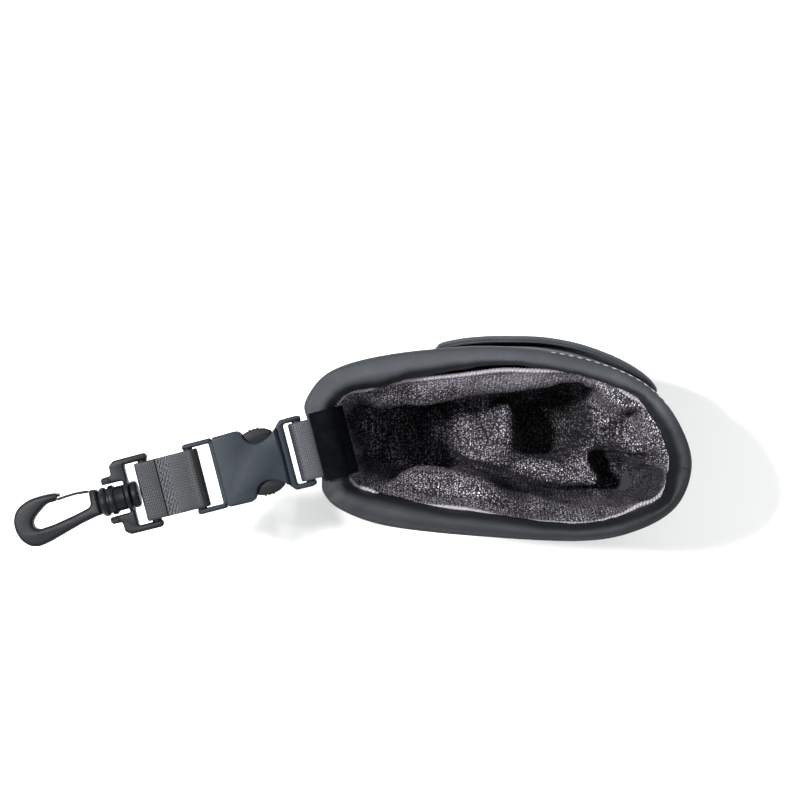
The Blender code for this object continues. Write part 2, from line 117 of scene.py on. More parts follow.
class Finish:
    """A material's nodes, added one at a time and joined by name."""

    def __init__(self, name, roughness):
        self.material = bpy.data.materials.new(name)
        self.material.use_nodes = True
        self.tree = self.material.node_tree
        self.shader = self.tree.nodes["Principled BSDF"]
        self.shader.inputs["Roughness"].default_value = roughness

    def add(self, kind, **values):
        node = self.tree.nodes.new("ShaderNode" + kind)
        for key, value in values.items():
            setattr(node, key, value)
        return node

    def link(self, source, target):
        self.tree.links.new(source, target)

    def set(self, name, value):
        self.shader.inputs[name].default_value = value

    def cloth_map(self):
        """Millimetres across and along the cloth."""
        return self.add("UVMap", uv_map="cloth").outputs["UV"]

    def object_map(self):
        return self.add("TexCoord").outputs["Object"]

    def shade(self):
        """The painted shade a piece carries in its hollows, seams and shaded parts, from its own
        attribute; below 0 it is painted light.
        """
        return self.add("Attribute", attribute_name="shade").outputs["Fac"]

    def maths(self, operation, a, b=None, c=None, clamp=False):
        node = self.add("Math", operation=operation, use_clamp=clamp)
        for socket, value in zip(node.inputs, (a, b, c)):
            if value is None:
                continue
            if isinstance(value, (int, float)):
                socket.default_value = value
            else:
                self.link(value, socket)
        return node.outputs[0]

    def times(self, a, b, clamp=False):
        return self.maths("MULTIPLY", a, b, clamp=clamp)

    def scaled(self, a, by, plus):
        return self.maths("MULTIPLY_ADD", a, by, plus)

    def noise(self, vector, scale, detail=2.0, roughness=0.5):
        node = self.add("TexNoise")
        node.inputs["Scale"].default_value = scale
        node.inputs["Detail"].default_value = detail
        node.inputs["Roughness"].default_value = roughness
        self.link(vector, node.inputs["Vector"])
        return node.outputs[0]

    def ramp(self, factor, stops):
        node = self.add("ValToRGB")
        points = node.color_ramp.elements
        while len(points) < len(stops):
            points.new(0.5)
        for point, (place, colour) in zip(points, stops):
            point.position = place
            point.color = (*colour, 1.0)
        self.link(factor, node.inputs["Fac"])
        return node.outputs["Color"]

    def mix(self, factor, a, b):
        node = self.add("Mix", data_type="RGBA")
        sockets = (node.inputs[0], node.inputs[6], node.inputs[7])
        for socket, value in zip(sockets, (factor, a, b)):
            if isinstance(value, tuple):
                socket.default_value = (*value, 1.0)
            elif isinstance(value, float):
                socket.default_value = value
            else:
                self.link(value, socket)
        return node.outputs[2]

    def stretched(self, vector, scale):
        node = self.add("VectorMath", operation="MULTIPLY")
        node.inputs[1].default_value = scale
        self.link(vector, node.inputs[0])
        return node.outputs[0]

    def axis(self, vector, axis):
        split = self.add("SeparateXYZ")
        self.link(vector, split.inputs[0])
        return split.outputs[axis]

    def wave(self, vector, axis, pitch):
        """0 to 1 and back over each pitch along one axis of a map."""
        angle = self.times(self.axis(vector, axis), 2 * math.pi / pitch)
        return self.scaled(self.maths("SINE", angle), 0.5, 0.5)

    def weave(self, pitch):
        """1 where warp and weft cross, 0 between them."""
        cloth = self.cloth_map()
        return self.times(self.wave(cloth, 0, pitch), self.wave(cloth, 1, pitch))

    def colour(self, source):
        self.link(source, self.shader.inputs["Base Color"])

    def rough(self, source):
        self.link(source, self.shader.inputs["Roughness"])

    def relief(self, height, depth, strength=1.0, under=None):
        bump = self.add("Bump")
        bump.inputs["Strength"].default_value = strength
        bump.inputs["Distance"].default_value = depth
        self.link(height, bump.inputs["Height"])
        if under is not None:
            self.link(under, bump.inputs["Normal"])
        self.link(bump.outputs[0], self.shader.inputs["Normal"])
        return bump.outputs[0]


WEAVE_PITCH = 0.42


def coated_cloth():
    """Tight matt cloth with a fine weave, paler in places where it is worn."""
    m = Finish("coated_cloth", 0.62)
    weave = m.weave(WEAVE_PITCH)
    mottle = m.noise(m.object_map(), 90.0, 4.0, 0.6)
    shade = m.ramp(mottle, [(0.3, (0.019, 0.022, 0.026)), (0.72, (0.037, 0.041, 0.047))])
    m.colour(m.mix(m.times(weave, 0.35), shade, (0.055, 0.06, 0.067)))
    m.rough(m.scaled(mottle, 0.25, 0.5))
    creases = m.noise(m.object_map(), 420.0, 3.0, 0.55)
    m.relief(weave, 0.00012, 0.5, m.relief(creases, 0.00025, 0.35))
    m.set("Sheen Weight", 0.05)
    m.set("Sheen Tint", (0.75, 0.8, 0.9, 1.0))
    m.set("Specular IOR Level", 0.3)
    return m.material


def rolled_binding():
    """The same cloth rolled over the rim: painted light along its crest, painted shade into its
    seams, and more painted shade from its shade attribute.
    """
    m = Finish("rolled_binding", 0.6)
    wander = m.noise(m.object_map(), 55.0, 3.0)
    place = m.scaled(wander, 3.2, m.maths("SUBTRACT", m.axis(m.cloth_map(), 1), 1.6))
    across = m.maths("DIVIDE", place, 22.0, clamp=True)
    # Painted shade at the roll's edges and painted light along its crest.
    dark, low, crest = (0.006, 0.0075, 0.0095), (0.02, 0.0235, 0.028), (0.047, 0.052, 0.059)
    stops = [(0.2, dark), (0.34, low), (0.46, crest), (0.56, low), (0.66, dark)]
    weave = m.weave(WEAVE_PITCH)
    mottle = m.noise(m.object_map(), 130.0, 4.0, 0.65)
    tone = m.mix(m.times(mottle, 0.55), m.ramp(across, stops), low)
    painted_light_and_shade_weave = m.mix(m.times(weave, 0.12), tone, (0.08, 0.085, 0.095))
    # Painted shade from the shade attribute.
    m.colour(m.mix(m.shade(), painted_light_and_shade_weave, (0.0045, 0.0055, 0.007)))
    m.rough(m.scaled(mottle, 0.3, 0.42))
    creases = m.noise(m.object_map(), 420.0, 3.0, 0.55)
    m.relief(weave, 0.00012, 0.4, m.relief(creases, 0.00035, 0.4))
    m.set("Specular IOR Level", 0.25)
    return m.material


def glitter_knit():
    """Dark purple-grey warp knit: fine ribs, looped stitches and scattered silver flecks."""
    m = Finish("glitter_knit", 0.72)
    cloth = m.cloth_map()
    wobble = m.noise(cloth, 0.35, 2.0)
    ribs = m.wave(cloth, 0, 1.15)
    loops = m.wave(cloth, 1, 0.8)
    knit = m.times(ribs, m.scaled(loops, 0.6, 0.4))
    loose = m.ramp(knit, [(0.05, (0.006, 0.0055, 0.008)), (0.8, (0.04, 0.034, 0.046))])
    blush = m.ramp(wobble, [(0.4, (0.01, 0.009, 0.013)), (0.65, (0.04, 0.032, 0.042))])
    body = m.mix(0.3, loose, blush)
    masks = []
    for size, reach, chance in ((0.75, 0.26, 0.56), (1.4, 0.17, 0.45), (0.45, 0.32, 0.66)):
        cells = m.add("TexVoronoi", feature="F1", voronoi_dimensions="2D")
        cells.inputs["Scale"].default_value = 1.0 / size
        m.link(cloth, cells.inputs["Vector"])
        near = m.maths("LESS_THAN", cells.outputs["Distance"], reach)
        split = m.add("SeparateColor")
        m.link(cells.outputs["Color"], split.inputs[0])
        picked = m.maths("GREATER_THAN", split.outputs[0], chance)
        strength = m.scaled(split.outputs[1], 0.75, 0.25)
        masks.append(m.times(m.times(near, picked), strength))
    flecks = m.maths("MAXIMUM", m.maths("MAXIMUM", masks[0], masks[1]), m.times(masks[2], 0.5))
    shade = m.shade()
    # Painted light where the shade attribute is below 0, painted shade where it is above, with the
    # flecks dimmed in the painted shade.
    painted_lit_body = m.mix(m.times(shade, -0.6, clamp=True), body, (0.17, 0.155, 0.185))
    painted_lit_and_shaded_body = m.mix(m.times(shade, 0.97, clamp=True), painted_lit_body, (0.0016, 0.0014, 0.0022))
    flecks_in_painted_shade = m.times(flecks, m.scaled(shade, -0.78, 1.0))
    m.colour(m.mix(flecks_in_painted_shade, painted_lit_and_shaded_body, (0.84, 0.8, 0.86)))
    m.link(m.times(flecks_in_painted_shade, 0.55), m.shader.inputs["Metallic"])
    m.rough(m.scaled(flecks, -0.4, 0.78))
    m.relief(m.scaled(flecks, 0.4, knit), 0.0003, 0.8)
    m.set("Specular IOR Level", 0.2)
    m.set("Sheen Weight", 0.02)
    m.set("Sheen Tint", (0.85, 0.8, 0.9, 1.0))
    return m.material


def thread(name, low, high, roughness=0.55):
    m = Finish(name, roughness)
    twist = m.noise(m.object_map(), 2600.0)
    m.colour(m.ramp(twist, [(0.3, low), (0.7, high)]))
    m.relief(twist, 0.0001, 0.5)
    m.set("Sheen Weight", 0.3)
    return m.material


def smooth_cloth():
    """Black, almost smooth lining cloth."""
    m = Finish("smooth_cloth", 0.75)
    place = m.object_map()
    mottle = m.noise(place, 260.0, 3.0)
    m.colour(m.ramp(mottle, [(0.3, (0.0012, 0.0014, 0.002)), (0.75, (0.0035, 0.004, 0.005))]))
    m.relief(m.noise(place, 1500.0, 2.0), 0.0001, 0.4)
    m.set("Specular IOR Level", 0.02)
    return m.material


def woven_webbing():
    """Close-woven nylon tape: ribs along it, crossed by finer picks, with a soft shine."""
    m = Finish("woven_webbing", 0.5)
    cloth = m.cloth_map()
    ribs = m.wave(cloth, 0, 0.9)
    picks = m.wave(cloth, 1, 0.55)
    weave = m.scaled(m.times(ribs, picks), 0.7, m.times(picks, 0.3))
    mottle = m.noise(m.object_map(), 160.0, 4.0, 0.6)
    low = m.ramp(mottle, [(0.3, (0.007, 0.009, 0.012)), (0.7, (0.016, 0.0195, 0.0245))])
    woven = m.mix(m.times(weave, 0.75), low, (0.036, 0.043, 0.052))
    # Painted shade from the shade attribute, near the bars the webbing wraps.
    m.colour(m.mix(m.shade(), woven, (0.002, 0.0026, 0.0034)))
    m.rough(m.scaled(mottle, 0.3, 0.36))
    m.relief(weave, 0.00018, 0.5)
    m.set("Specular IOR Level", 0.4)
    return m.material


def moulded_plastic(name, low, high):
    """Satin moulded acetal, with a faint grain and a little wear."""
    m = Finish(name, 0.4)
    place = m.object_map()
    flow = m.noise(place, 110.0, 3.0)
    m.colour(m.ramp(flow, [(0.3, low), (0.7, high)]))
    grain = m.noise(place, 2400.0, 2.0)
    scuffs = m.noise(m.stretched(place, (1.0, 6.0, 1.0)), 300.0, 4.0, 0.7)
    m.rough(m.scaled(scuffs, 0.25, 0.36))
    m.relief(grain, 0.00006, 0.5)
    m.set("Specular IOR Level", 0.17)
    return m.material


CLOTH = coated_cloth()
BINDING = rolled_binding()
KNIT = glitter_knit()
WEBBING = woven_webbing()
TAB = smooth_cloth()
BUCKLE = moulded_plastic("buckle_plastic", (0.0055, 0.0095, 0.0145), (0.009, 0.0145, 0.0205))
# The prongs get a darker copy of the buckle plastic: painted shade for the shade of the socket's
# cut-outs round them.
PRONG_PAINTED_SHADE = moulded_plastic("prong_plastic_painted_shade", (0.0006, 0.001, 0.0016), (0.0014, 0.0022, 0.0032))
HOOK = moulded_plastic("hook_plastic", (0.0008, 0.0016, 0.0028), (0.002, 0.0036, 0.0054))
OVERLOCK = thread("overlock_thread", (0.1, 0.093, 0.105), (0.42, 0.39, 0.44))
DARK_THREAD = thread("dark_thread", (0.03, 0.033, 0.04), (0.1, 0.11, 0.125))
PALE_THREAD = thread("pale_thread", (0.12, 0.125, 0.135), (0.36, 0.37, 0.39), 0.4)


# Making pieces


def new_piece(name, mesh, material, replaces=None, body="pouch", thick=0.0):
    """A piece that rides a body, in place of a CAD node where one is named; thick gives a sheet
    its wall."""
    piece = bpy.data.objects.new(name, mesh)
    bpy.context.scene.collection.objects.link(piece)
    mesh.materials.clear()
    mesh.materials.append(material)
    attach(piece, body)
    if replaces:
        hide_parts(replaces)
    if thick:
        wall = piece.modifiers.new("thickness", "SOLIDIFY")
        wall.thickness = thick
        wall.offset = -1.0


def mesh_from(body, name):
    mesh = bpy.data.meshes.new(name)
    body.to_mesh(mesh)
    body.free()
    mesh.shade_smooth()
    return mesh


def distance_along(path):
    """How far along a path each of its points lies."""
    steps = np.linalg.norm(np.diff(path, axis=0), axis=1)
    return np.concatenate([[0.0], np.cumsum(steps)])


def curve_through(a, b, c, d, share):
    """Where a smooth curve through four knots is, a share of the way from b to c."""
    bend = 2 * b + (c - a) * share + (2 * a - 5 * b + 4 * c - d) * share**2
    return (bend + (3 * b - a - 3 * c + d) * share**3) * 0.5


def even_steps(path, count):
    """The same path, with its points in even steps."""
    travelled = distance_along(path)
    even = np.linspace(0, travelled[-1], count)
    return np.column_stack([np.interp(even, travelled, axis) for axis in path.T])


def grid_mesh(name, points, cloth=None, closed=False, shade=None):
    """A sheet through rows of points, each row running across it, with its cloth map."""
    if cloth is None:
        cloth = measured_cloth(points)
    rows, count = points.shape[:2]
    body = bmesh.new()
    knots = [body.verts.new(point) for point in points.reshape(-1, 3)]
    layer = body.loops.layers.uv.new("cloth")
    across = count if closed else count - 1
    for row in range(rows - 1):
        for column in range(across):
            ends = [(row, column), (row, column + 1), (row + 1, column + 1), (row + 1, column)]
            face = body.faces.new([knots[r * count + c % count] for r, c in ends])
            for loop, (r, c) in zip(face.loops, ends):
                loop[layer].uv = cloth_place(cloth, r, c, count)
    mesh = mesh_from(body, name)
    if shade is not None:
        store = mesh.attributes.new("shade", "FLOAT", "POINT")
        store.data.foreach_set("value", np.asarray(shade, np.float32).reshape(-1))
    return mesh


def cloth_place(cloth, row, column, count):
    """The cloth map at a column, which carries on past the last one where a grid closes."""
    wrapped = cloth[row, column % count].copy()
    if column >= count:
        wrapped[0] += cloth[row, -1][0] - cloth[row, 0][0]
        wrapped[0] += cloth[row, -1][0] - cloth[row, -2][0]
    return wrapped


def cloth_grid(across, down):
    """A cloth map in millimetres, from how far across and down its columns and rows lie."""
    return np.stack(np.meshgrid(across / MM, down / MM), axis=-1)


def measured_cloth(points):
    """The cloth map of a grid, from the mean spacing of its columns and rows."""
    across = np.linalg.norm(np.diff(points, axis=1), axis=2).mean(axis=0)
    down = np.linalg.norm(np.diff(points, axis=0), axis=2).mean(axis=1)
    return cloth_grid(*(np.concatenate([[0.0], np.cumsum(gaps)]) for gaps in (across, down)))


# The bag's shape


def mouth_points(turns):
    """The mouth's edge at turns counted in control points from the right seam."""
    turns = np.asarray(turns, float)
    index = np.floor(turns).astype(int)
    share = (turns - index)[..., None]
    return curve_through(*(MOUTH[(index + k) % len(MOUTH)] for k in (-1, 0, 1, 2)), share)


def nearest_on_line(points, start, end):
    along = np.subtract(end, start)
    share = np.clip(((points - start) @ along) / (along @ along), 0, 1)
    return start + along * share[..., None]


def towards_spine(points):
    gap = nearest_on_line(points, SPINE_LEFT, SPINE_RIGHT) - points
    return gap / np.linalg.norm(gap, axis=-1, keepdims=True)


def base_points(points):
    angle = np.arctan2(points[..., 1] / BASE_HALF_DEPTH, points[..., 0] / BASE_HALF_LENGTH)
    power = 2.0 / BASE_SQUARENESS
    x = np.sign(np.cos(angle)) * np.abs(np.cos(angle)) ** power * BASE_HALF_LENGTH
    y = np.sign(np.sin(angle)) * np.abs(np.sin(angle)) ** power * BASE_HALF_DEPTH
    return BASE_CENTRE + np.stack([x, y], axis=-1)


def wall_points(turns, heights, depths):
    """Points of the bag's wall, depths inside its outer face."""
    turns, heights, depths = np.broadcast_arrays(turns, heights, depths)
    mouth = mouth_points(turns)
    level = np.clip(heights / RIM_TOP, 0, 1)
    spread = np.sin(np.pi / 2 * level**0.8)[..., None]
    flat = base_points(mouth) * (1 - spread) + mouth * spread
    across = (mouth[..., 0] - 24.0 * MM) / (46.0 * MM)
    share = np.clip(1 - across**2, 0, 1) * np.clip(mouth[..., 1] / (18.0 * MM), 0, 1)
    flat[..., 1] += BACK_BULGE * np.exp(-(((level - BULGE_HEIGHT) / 0.22) ** 2)) * share
    flat = flat + towards_spine(flat) * depths[..., None]
    return np.concatenate([flat, heights[..., None]], axis=-1)


def band_width(turns):
    mouth = mouth_points(turns)
    around = np.arctan2(mouth[..., 1], mouth[..., 0])
    return (7.6 + 0.9 * np.sin(around) - 2.2 * np.cos(around)) * MM


def ripple(turns, waves):
    """A gentle sum of waves round the mouth; each is (waves in a full turn, size, start)."""
    angle = np.asarray(turns) * (2 * np.pi / LAST_TURN)
    return sum(size * np.sin(count * angle + start) for count, size, start in waves)


def soft_noise(points, size, seed):
    """Smooth noise from -1 to 1 at points, with features of about size."""
    flat = points.reshape(-1, 3) / size + seed
    values = [noise.noise(Vector(place)) for place in flat]
    return np.array(values).reshape(points.shape[:-1])


def step(values, low, high):
    share = np.clip((values - low) / (high - low), 0, 1)
    return share * share * (3 - 2 * share)


def swell(values, centre, half_width):
    return np.exp(-(((values - centre) / half_width) ** 2))


def slump(turns, heights):
    """How far the soft wall sags inward between its stiff rim and base."""
    turns, heights = np.broadcast_arrays(turns, heights)
    level = heights / RIM_TOP
    hold = step(level, 0.04, 0.3) * (1 - step(level, 0.72, 0.93))
    places = wall_points(turns, heights, np.zeros_like(heights))
    leaning = places.copy()
    leaning[..., 2] = places[..., 2] * 0.55 + places[..., 0] * 0.5
    broad = soft_noise(leaning, 0.021, 3.1)
    buckle = 1 - 2 * np.abs(soft_noise(places * (0.45, 0.45, 1.35), 0.016, 11.7))
    near_seam = np.maximum(swell(turns, LEFT_SEAM, 1.6), swell(np.abs(turns - 9.5), 9.5, 1.6))
    fine = soft_noise(places * (0.6, 0.6, 2.2), 0.008, 7.7)
    return hold * (1.3 * broad - 0.55 * buckle * (0.4 + near_seam) + 0.3 * fine) * MM


def soft_wall(turns, heights, depths):
    return wall_points(turns, heights, depths + slump(turns, heights))


def stitch_mesh(name, ends, radius):
    """A short rounded stitch between each pair of ends."""
    body = bmesh.new()
    for start, stop in ends:
        along = stop - start
        turn = along.to_track_quat("Z", "Y").to_matrix().to_4x4()
        place = Matrix.Translation((start + stop) / 2) @ turn
        place = place @ Matrix.Diagonal((1, 1, along.length / (2 * radius), 1))
        bmesh.ops.create_icosphere(body, subdivisions=1, radius=radius, matrix=place)
    return mesh_from(body, name)


def sew(name, path, pitch, share, material, radius=STITCH_RADIUS):
    """A row of stitches along a path on the pouch, each as long as its share of the pitch."""
    travelled = distance_along(path)
    ends = []
    for index in range(int(travelled[-1] / pitch)):
        span = [(index + 0.5 + side * share / 2) * pitch for side in (-1, 1)]
        ends.append([Vector([np.interp(at, travelled, axis) for axis in path.T]) for at in span])
    new_piece(name, stitch_mesh(name, ends, radius), material)


# Shell, side seams and base

SHELL_HEIGHTS = np.linspace(1.7, 91.0, 40) * MM
SHELL_DEPTH = 0.2 * MM
SHELL_THICK = 1.2 * MM
TAPE_HEIGHTS = np.linspace(2.0, 88.0, 90) * MM
TAPE_THICK = 0.5 * MM
TAPE_HALVES = (("right", RIGHT_SEAM, 0.34), ("left", LEFT_SEAM, 0.42))
PANEL_GAP = 0.03
CORD_SIDES = 10
WELD_GAP = 0.00002


def add_shell():
    for side, start, stop in BAG_HALVES:
        name = side + "_panel"
        turns = np.linspace(start + PANEL_GAP, stop - PANEL_GAP, 110)
        points = soft_wall(turns, SHELL_HEIGHTS[:, None], SHELL_DEPTH)
        mesh = grid_mesh("shell_" + name, points)
        new_piece("shell_" + name, mesh, CLOTH, name, thick=SHELL_THICK)
    for side, turn, half_width in TAPE_HALVES:
        share = np.linspace(-1, 1, 9)
        turns = (turn + share * half_width) % LAST_TURN
        proud = np.sqrt(np.clip(1 - share**6, 0, 1)) * 0.7 * MM - 0.2 * MM
        points = soft_wall(turns, TAPE_HEIGHTS[:, None], SHELL_DEPTH - proud)
        mesh = grid_mesh("seam_tape_" + side, points)
        new_piece("seam_tape_" + side, mesh, CLOTH, thick=TAPE_THICK)
        for edge in (1, 7):
            out = points[:, edge] - wall_points(turns[edge], TAPE_HEIGHTS, 2 * MM)
            path = points[:, edge] + out * 0.04
            sew(f"seam_stitches_{side}_{edge}", path, SEAM_PITCH, SEAM_SHARE, DARK_THREAD)


# The base's cross-section, from its middle underneath to its middle inside: share of the way out
# to its edge, and height in millimetres.
BASE_PROFILE = [
    (0.02, 0.05), (0.5, 0.02), (0.9, 0.02), (0.985, 0.05), (1.012, 0.35), (1.02, 0.8),
    (1.012, 1.25), (0.985, 1.4), (0.9, 1.4), (0.5, 1.4), (0.02, 1.4),
]


def add_base():
    turns = np.linspace(0, LAST_TURN, 161)[:-1]
    out = base_points(mouth_points(turns)) - BASE_CENTRE

    def ring(share, height):
        level = np.full((len(turns), 1), height * MM)
        return np.concatenate([BASE_CENTRE + out * share, level], axis=1)

    points = np.array([ring(*knot) for knot in BASE_PROFILE])
    mesh = grid_mesh("base_board", points, closed=True)
    new_piece("base_board", mesh, CLOTH, "base_panel")
    mesh = tube_mesh("base_welt", ring(1.022, 1.5), 1.1 * MM, closed=True)
    new_piece("base_welt", mesh, CLOTH)


def tube_mesh(name, path, radius, closed=False, lobes=0, lobe_size=0.0):
    """A round cord along a path; lobes make it look wound with thread."""
    if closed:
        ahead = np.roll(path, -1, axis=0) - np.roll(path, 1, axis=0)
    else:
        ahead = np.gradient(path, axis=0)
    ahead /= np.linalg.norm(ahead, axis=1, keepdims=True)
    side = np.cross((0.0, 0.0, 1.0), ahead)
    side /= np.linalg.norm(side, axis=1, keepdims=True)
    top = np.cross(ahead, side)
    travelled = distance_along(path)
    angles = np.linspace(0, 2 * np.pi, CORD_SIDES, endpoint=False)
    girth = radius + lobe_size * np.sin(travelled[:, None] * lobes + angles)
    offset = side[:, None, :] * np.cos(angles)[None, :, None]
    offset = offset + top[:, None, :] * np.sin(angles)[None, :, None]
    points = path[:, None, :] + offset * girth[..., None]
    cloth = cloth_grid(angles * radius, travelled)
    if closed:
        points = np.concatenate([points, points[:1]])
        cloth = np.concatenate([cloth, cloth[-1:] + (0, 1)])
    mesh = grid_mesh(name, points, cloth, closed=True)
    close_ends(mesh, closed)
    return mesh


def close_ends(mesh, ring=False):
    """Merges the two ends of a ring, or fills those of anything else."""
    body = bmesh.new()
    body.from_mesh(mesh)
    if ring:
        bmesh.ops.remove_doubles(body, verts=body.verts, dist=WELD_GAP)
    else:
        open_edges = [edge for edge in body.edges if edge.is_boundary]
        bmesh.ops.holes_fill(body, edges=open_edges, sides=0)
    bmesh.ops.recalc_face_normals(body, faces=body.faces)
    body.to_mesh(mesh)
    body.free()
    mesh.shade_smooth()


# Back pocket


POCKET_SPAN = (1.9, 5.4)
POCKET_FOOT, POCKET_TOP, POCKET_DIP = 14.0, 80.0, 9.0
POCKET_THICK = 1.0 * MM
POCKET_HEM_RADIUS = 0.9 * MM


def add_pocket():
    turns = np.linspace(*POCKET_SPAN, 90)
    across = (turns - POCKET_SPAN[0]) / (POCKET_SPAN[1] - POCKET_SPAN[0])
    across = np.sin(np.pi * across) ** 0.5
    share = np.linspace(0, 1, 34)[:, None]
    tall = POCKET_TOP - POCKET_FOOT - POCKET_DIP * (1 - across) ** 0.8
    levels = (POCKET_FOOT + share * tall) * MM
    rise = np.clip(share / 0.2, 0, 1)
    stand = (0.2 - 1.25 * step(across, 0.0, 0.25) - 1.4 * across * rise) * MM
    points = soft_wall(turns, levels, stand)
    mesh = grid_mesh("slip_pocket", points)
    new_piece("slip_pocket", mesh, CLOTH, "back_pocket", thick=POCKET_THICK)
    mesh = tube_mesh("pocket_hem", points[-1] + (0, 0.4 * MM, -0.4 * MM), POCKET_HEM_RADIUS)
    new_piece("pocket_hem", mesh, CLOTH)
    seams = points + (0.0, 0.12 * MM, 0.0)
    for row in (4, 5):
        sew(f"pocket_hem_stitches_{row}", seams[-row], 2.8 * MM, 0.7, PALE_THREAD)
    for column in (2, 87):
        sew(f"pocket_side_stitches_{column}", seams[:, column], SEAM_PITCH, SEAM_SHARE, DARK_THREAD)
    sew("pocket_foot_stitches", seams[1], SEAM_PITCH, SEAM_SHARE, DARK_THREAD)


# Rolled rim

# The roll's cross-section, from its outer edge over to its inner one: height in millimetres, and
# share of the band's width.
BAND_ROLL = [
    (88.6, 0.03), (90.0, 0.015), (91.4, 0.01), (92.7, 0.0), (93.8, 0.015), (94.6, 0.07),
    (95.05, 0.15), (95.2, 0.25), (95.2, 0.37), (95.1, 0.5), (94.8, 0.62), (94.2, 0.73),
    (93.1, 0.82), (91.0, 0.88), (88.0, 0.925), (85.0, 0.96), (82.0, 1.0),
]

# How much painted shade the rim's cloth carries at turns round it, most at its right end and along
# its front.
RIM_PAINTED_SHADE_TURNS = (0, 1.0, 2.0, 9.5, 11.5, 16.5, 17.6, 19)
RIM_PAINTED_SHADE = (1.0, 0.85, 0.0, 0.0, 0.6, 0.75, 1.0, 1.0)
RIM_GAP = 0.001
RIM_THICK = 1.0 * MM
RIM_STITCHED_TURNS = (1.7, 4.1)
RIM_STITCH_RADIUS = 0.17 * MM


def rim_points(turns):
    """Rows of the rolled rim from its outer edge over to its inner one, gently puckered."""
    height, share = np.array(BAND_ROLL).T[..., None]
    tilt = 2.2 * step(-mouth_points(turns)[..., 1] / MM, 8, 26)
    inner = step(share, 0.45, 0.9)
    crest = step(share, 0.02, 0.2)
    wave = ripple(turns, [(7, 0.35, 0.4), (11, 0.28, 2.1), (17, 0.2, 4.0), (4, 0.3, 1.0)])
    pucker = ripple(turns, [(46, 0.07, 0.3), (71, 0.05, 2.2)])
    drop = ripple(turns, [(9, 0.16, 1.3), (15, 0.14, 0.2), (33, 0.06, 2.0)])
    depth = band_width(turns) * share + (wave * inner + pucker * step(share, 0.05, 0.4)) * MM
    depth -= 1.9 * MM * swell(turns, 5.1, 0.75) * inner
    level = height + (drop - 0.3 - tilt * np.clip(0.55 - share, 0, None)) * crest
    return wall_points(turns, level * MM, depth)


def sheet_normals(points):
    across = np.gradient(points, axis=1)
    down = np.gradient(points, axis=0)
    normal = np.cross(across, down)
    return normal / np.maximum(np.linalg.norm(normal, axis=-1, keepdims=True), 1e-12)


def add_rim():
    for side, start, stop in BAG_HALVES:
        name = "rim_band_" + side
        turns = np.linspace(start + RIM_GAP, stop - RIM_GAP, 260)
        points = rim_points(turns)
        # Painted shade on the rim bands, by turn.
        painted_shade = np.interp(turns, RIM_PAINTED_SHADE_TURNS, RIM_PAINTED_SHADE) * np.ones((len(points), 1))
        mesh = grid_mesh(name, points, shade=painted_shade)
        new_piece("rolled_" + name, mesh, BINDING, name, thick=RIM_THICK)
    points = rim_points(np.linspace(*RIM_STITCHED_TURNS, 300))
    path = (points + sheet_normals(points) * 0.12 * MM)[5]
    sew("rim_stitches_back", path, 3.0 * MM, 0.68, PALE_THREAD, RIM_STITCH_RADIUS)


# Lining

HEM_HEIGHT = 80.5 * MM
FLOOR = 4.6 * MM
HEM_RADIUS, HEM_LOBE = 0.75 * MM, 0.16 * MM


def hem_slack(turns):
    """How far the hem hangs inward of the rim's inner edge."""
    back = 1.1 * swell(turns, 4.9, 0.9) + 0.3 * swell(turns, 7.6, 0.6)
    front = 0.5 * swell(turns, 14.0, 1.2) + 0.9 * swell(turns, 17.2, 0.7)
    wave = ripple(turns, [(9, 0.35, 0.8), (14, 0.3, 2.0), (23, 0.15, 1.1)])
    return (-0.7 + back + front + wave) * MM


def hem_points(turns):
    depth = band_width(turns) + hem_slack(turns)
    height = HEM_HEIGHT + ripple(turns, [(6, 0.7, 0.2), (13, 0.4, 1.4)]) * MM
    return wall_points(turns, height, depth)


# Each knot: its turn, then the shelf's width and height, the undercut, and the foot's distance and
# height, in millimetres.
LINING_KNOTS = np.array([
    (0, 3, 74, 0, 6, 69), (1, 3, 74, 0, 6, 69), (2, 4, 72, 0, 7, 63), (3, 4, 66, 0.5, 9, 45),
    (3.6, 4, 66, 2.5, 8, 14), (4.3, 7.5, 64, 3, 9, 16), (4.7, 8.5, 63, 3, 10, 34),
    (5.3, 8.8, 63, 4, 8, 24), (5.42, 9, 63, 4, 8, 6), (6, 8.8, 62, 4, 8, 5),
    (7, 6.5, 62, 3, 7, 5), (8, 4, 58, 2, 6, 5), (9, 3.5, 56, 1, 6, 5), (10, 3.5, 55, 1, 6, 5),
    (11, 3.5, 56, 1, 6, 5), (12, 4, 58, 2, 7, 5), (13, 5, 62, 2.5, 8, 6),
    (14, 5.5, 60, 3, 8, 6), (14.4, 11, 52, 4, 10, 6), (14.75, 13.5, 50, 3, 12.5, 8),
    (14.9, 13.5, 50, 3, 13.5, 12), (15.1, 12, 50, 2, 13, 14), (15.4, 9, 54, 1, 11, 14),
    (15.8, 6, 58, 1, 9, 15), (16.5, 5, 62, 2, 8, 18), (17.1, 2, 70, 1, 5, 20),
    (17.7, 1.0, 76, 0.5, 3, 19), (18.3, 1.0, 76, 0.3, 3, 19), (18.7, 1.5, 76, 0, 4, 36),
    (19, 3, 74, 0, 6, 69),
])
LINING_SPINE_LEFT = np.array((-36.0, 1.0)) * MM
LINING_SPINE_RIGHT = np.array((46.0, -4.5)) * MM

# Painted shade along creases in its bottom: start, end, half width and depth.
CREASES = (
    ((34, -3), (63, -7), 2.6, 0.85),
    ((-14, -9), (8, -17), 3.0, 0.8),
    ((8, -17), (38, -20), 3.6, 0.85),
    ((30, 14), (50, 17), 2.2, 0.55),
)
LINING_ROWS, BOTTOM_ROWS = 100, 60
LINING_THICK = 0.5 * MM
LINING_LOW = 4.4 * MM
LINING_CLEAR = 2.3 * MM

# Where the folds of the right end meet.
FAN = (33, -3)


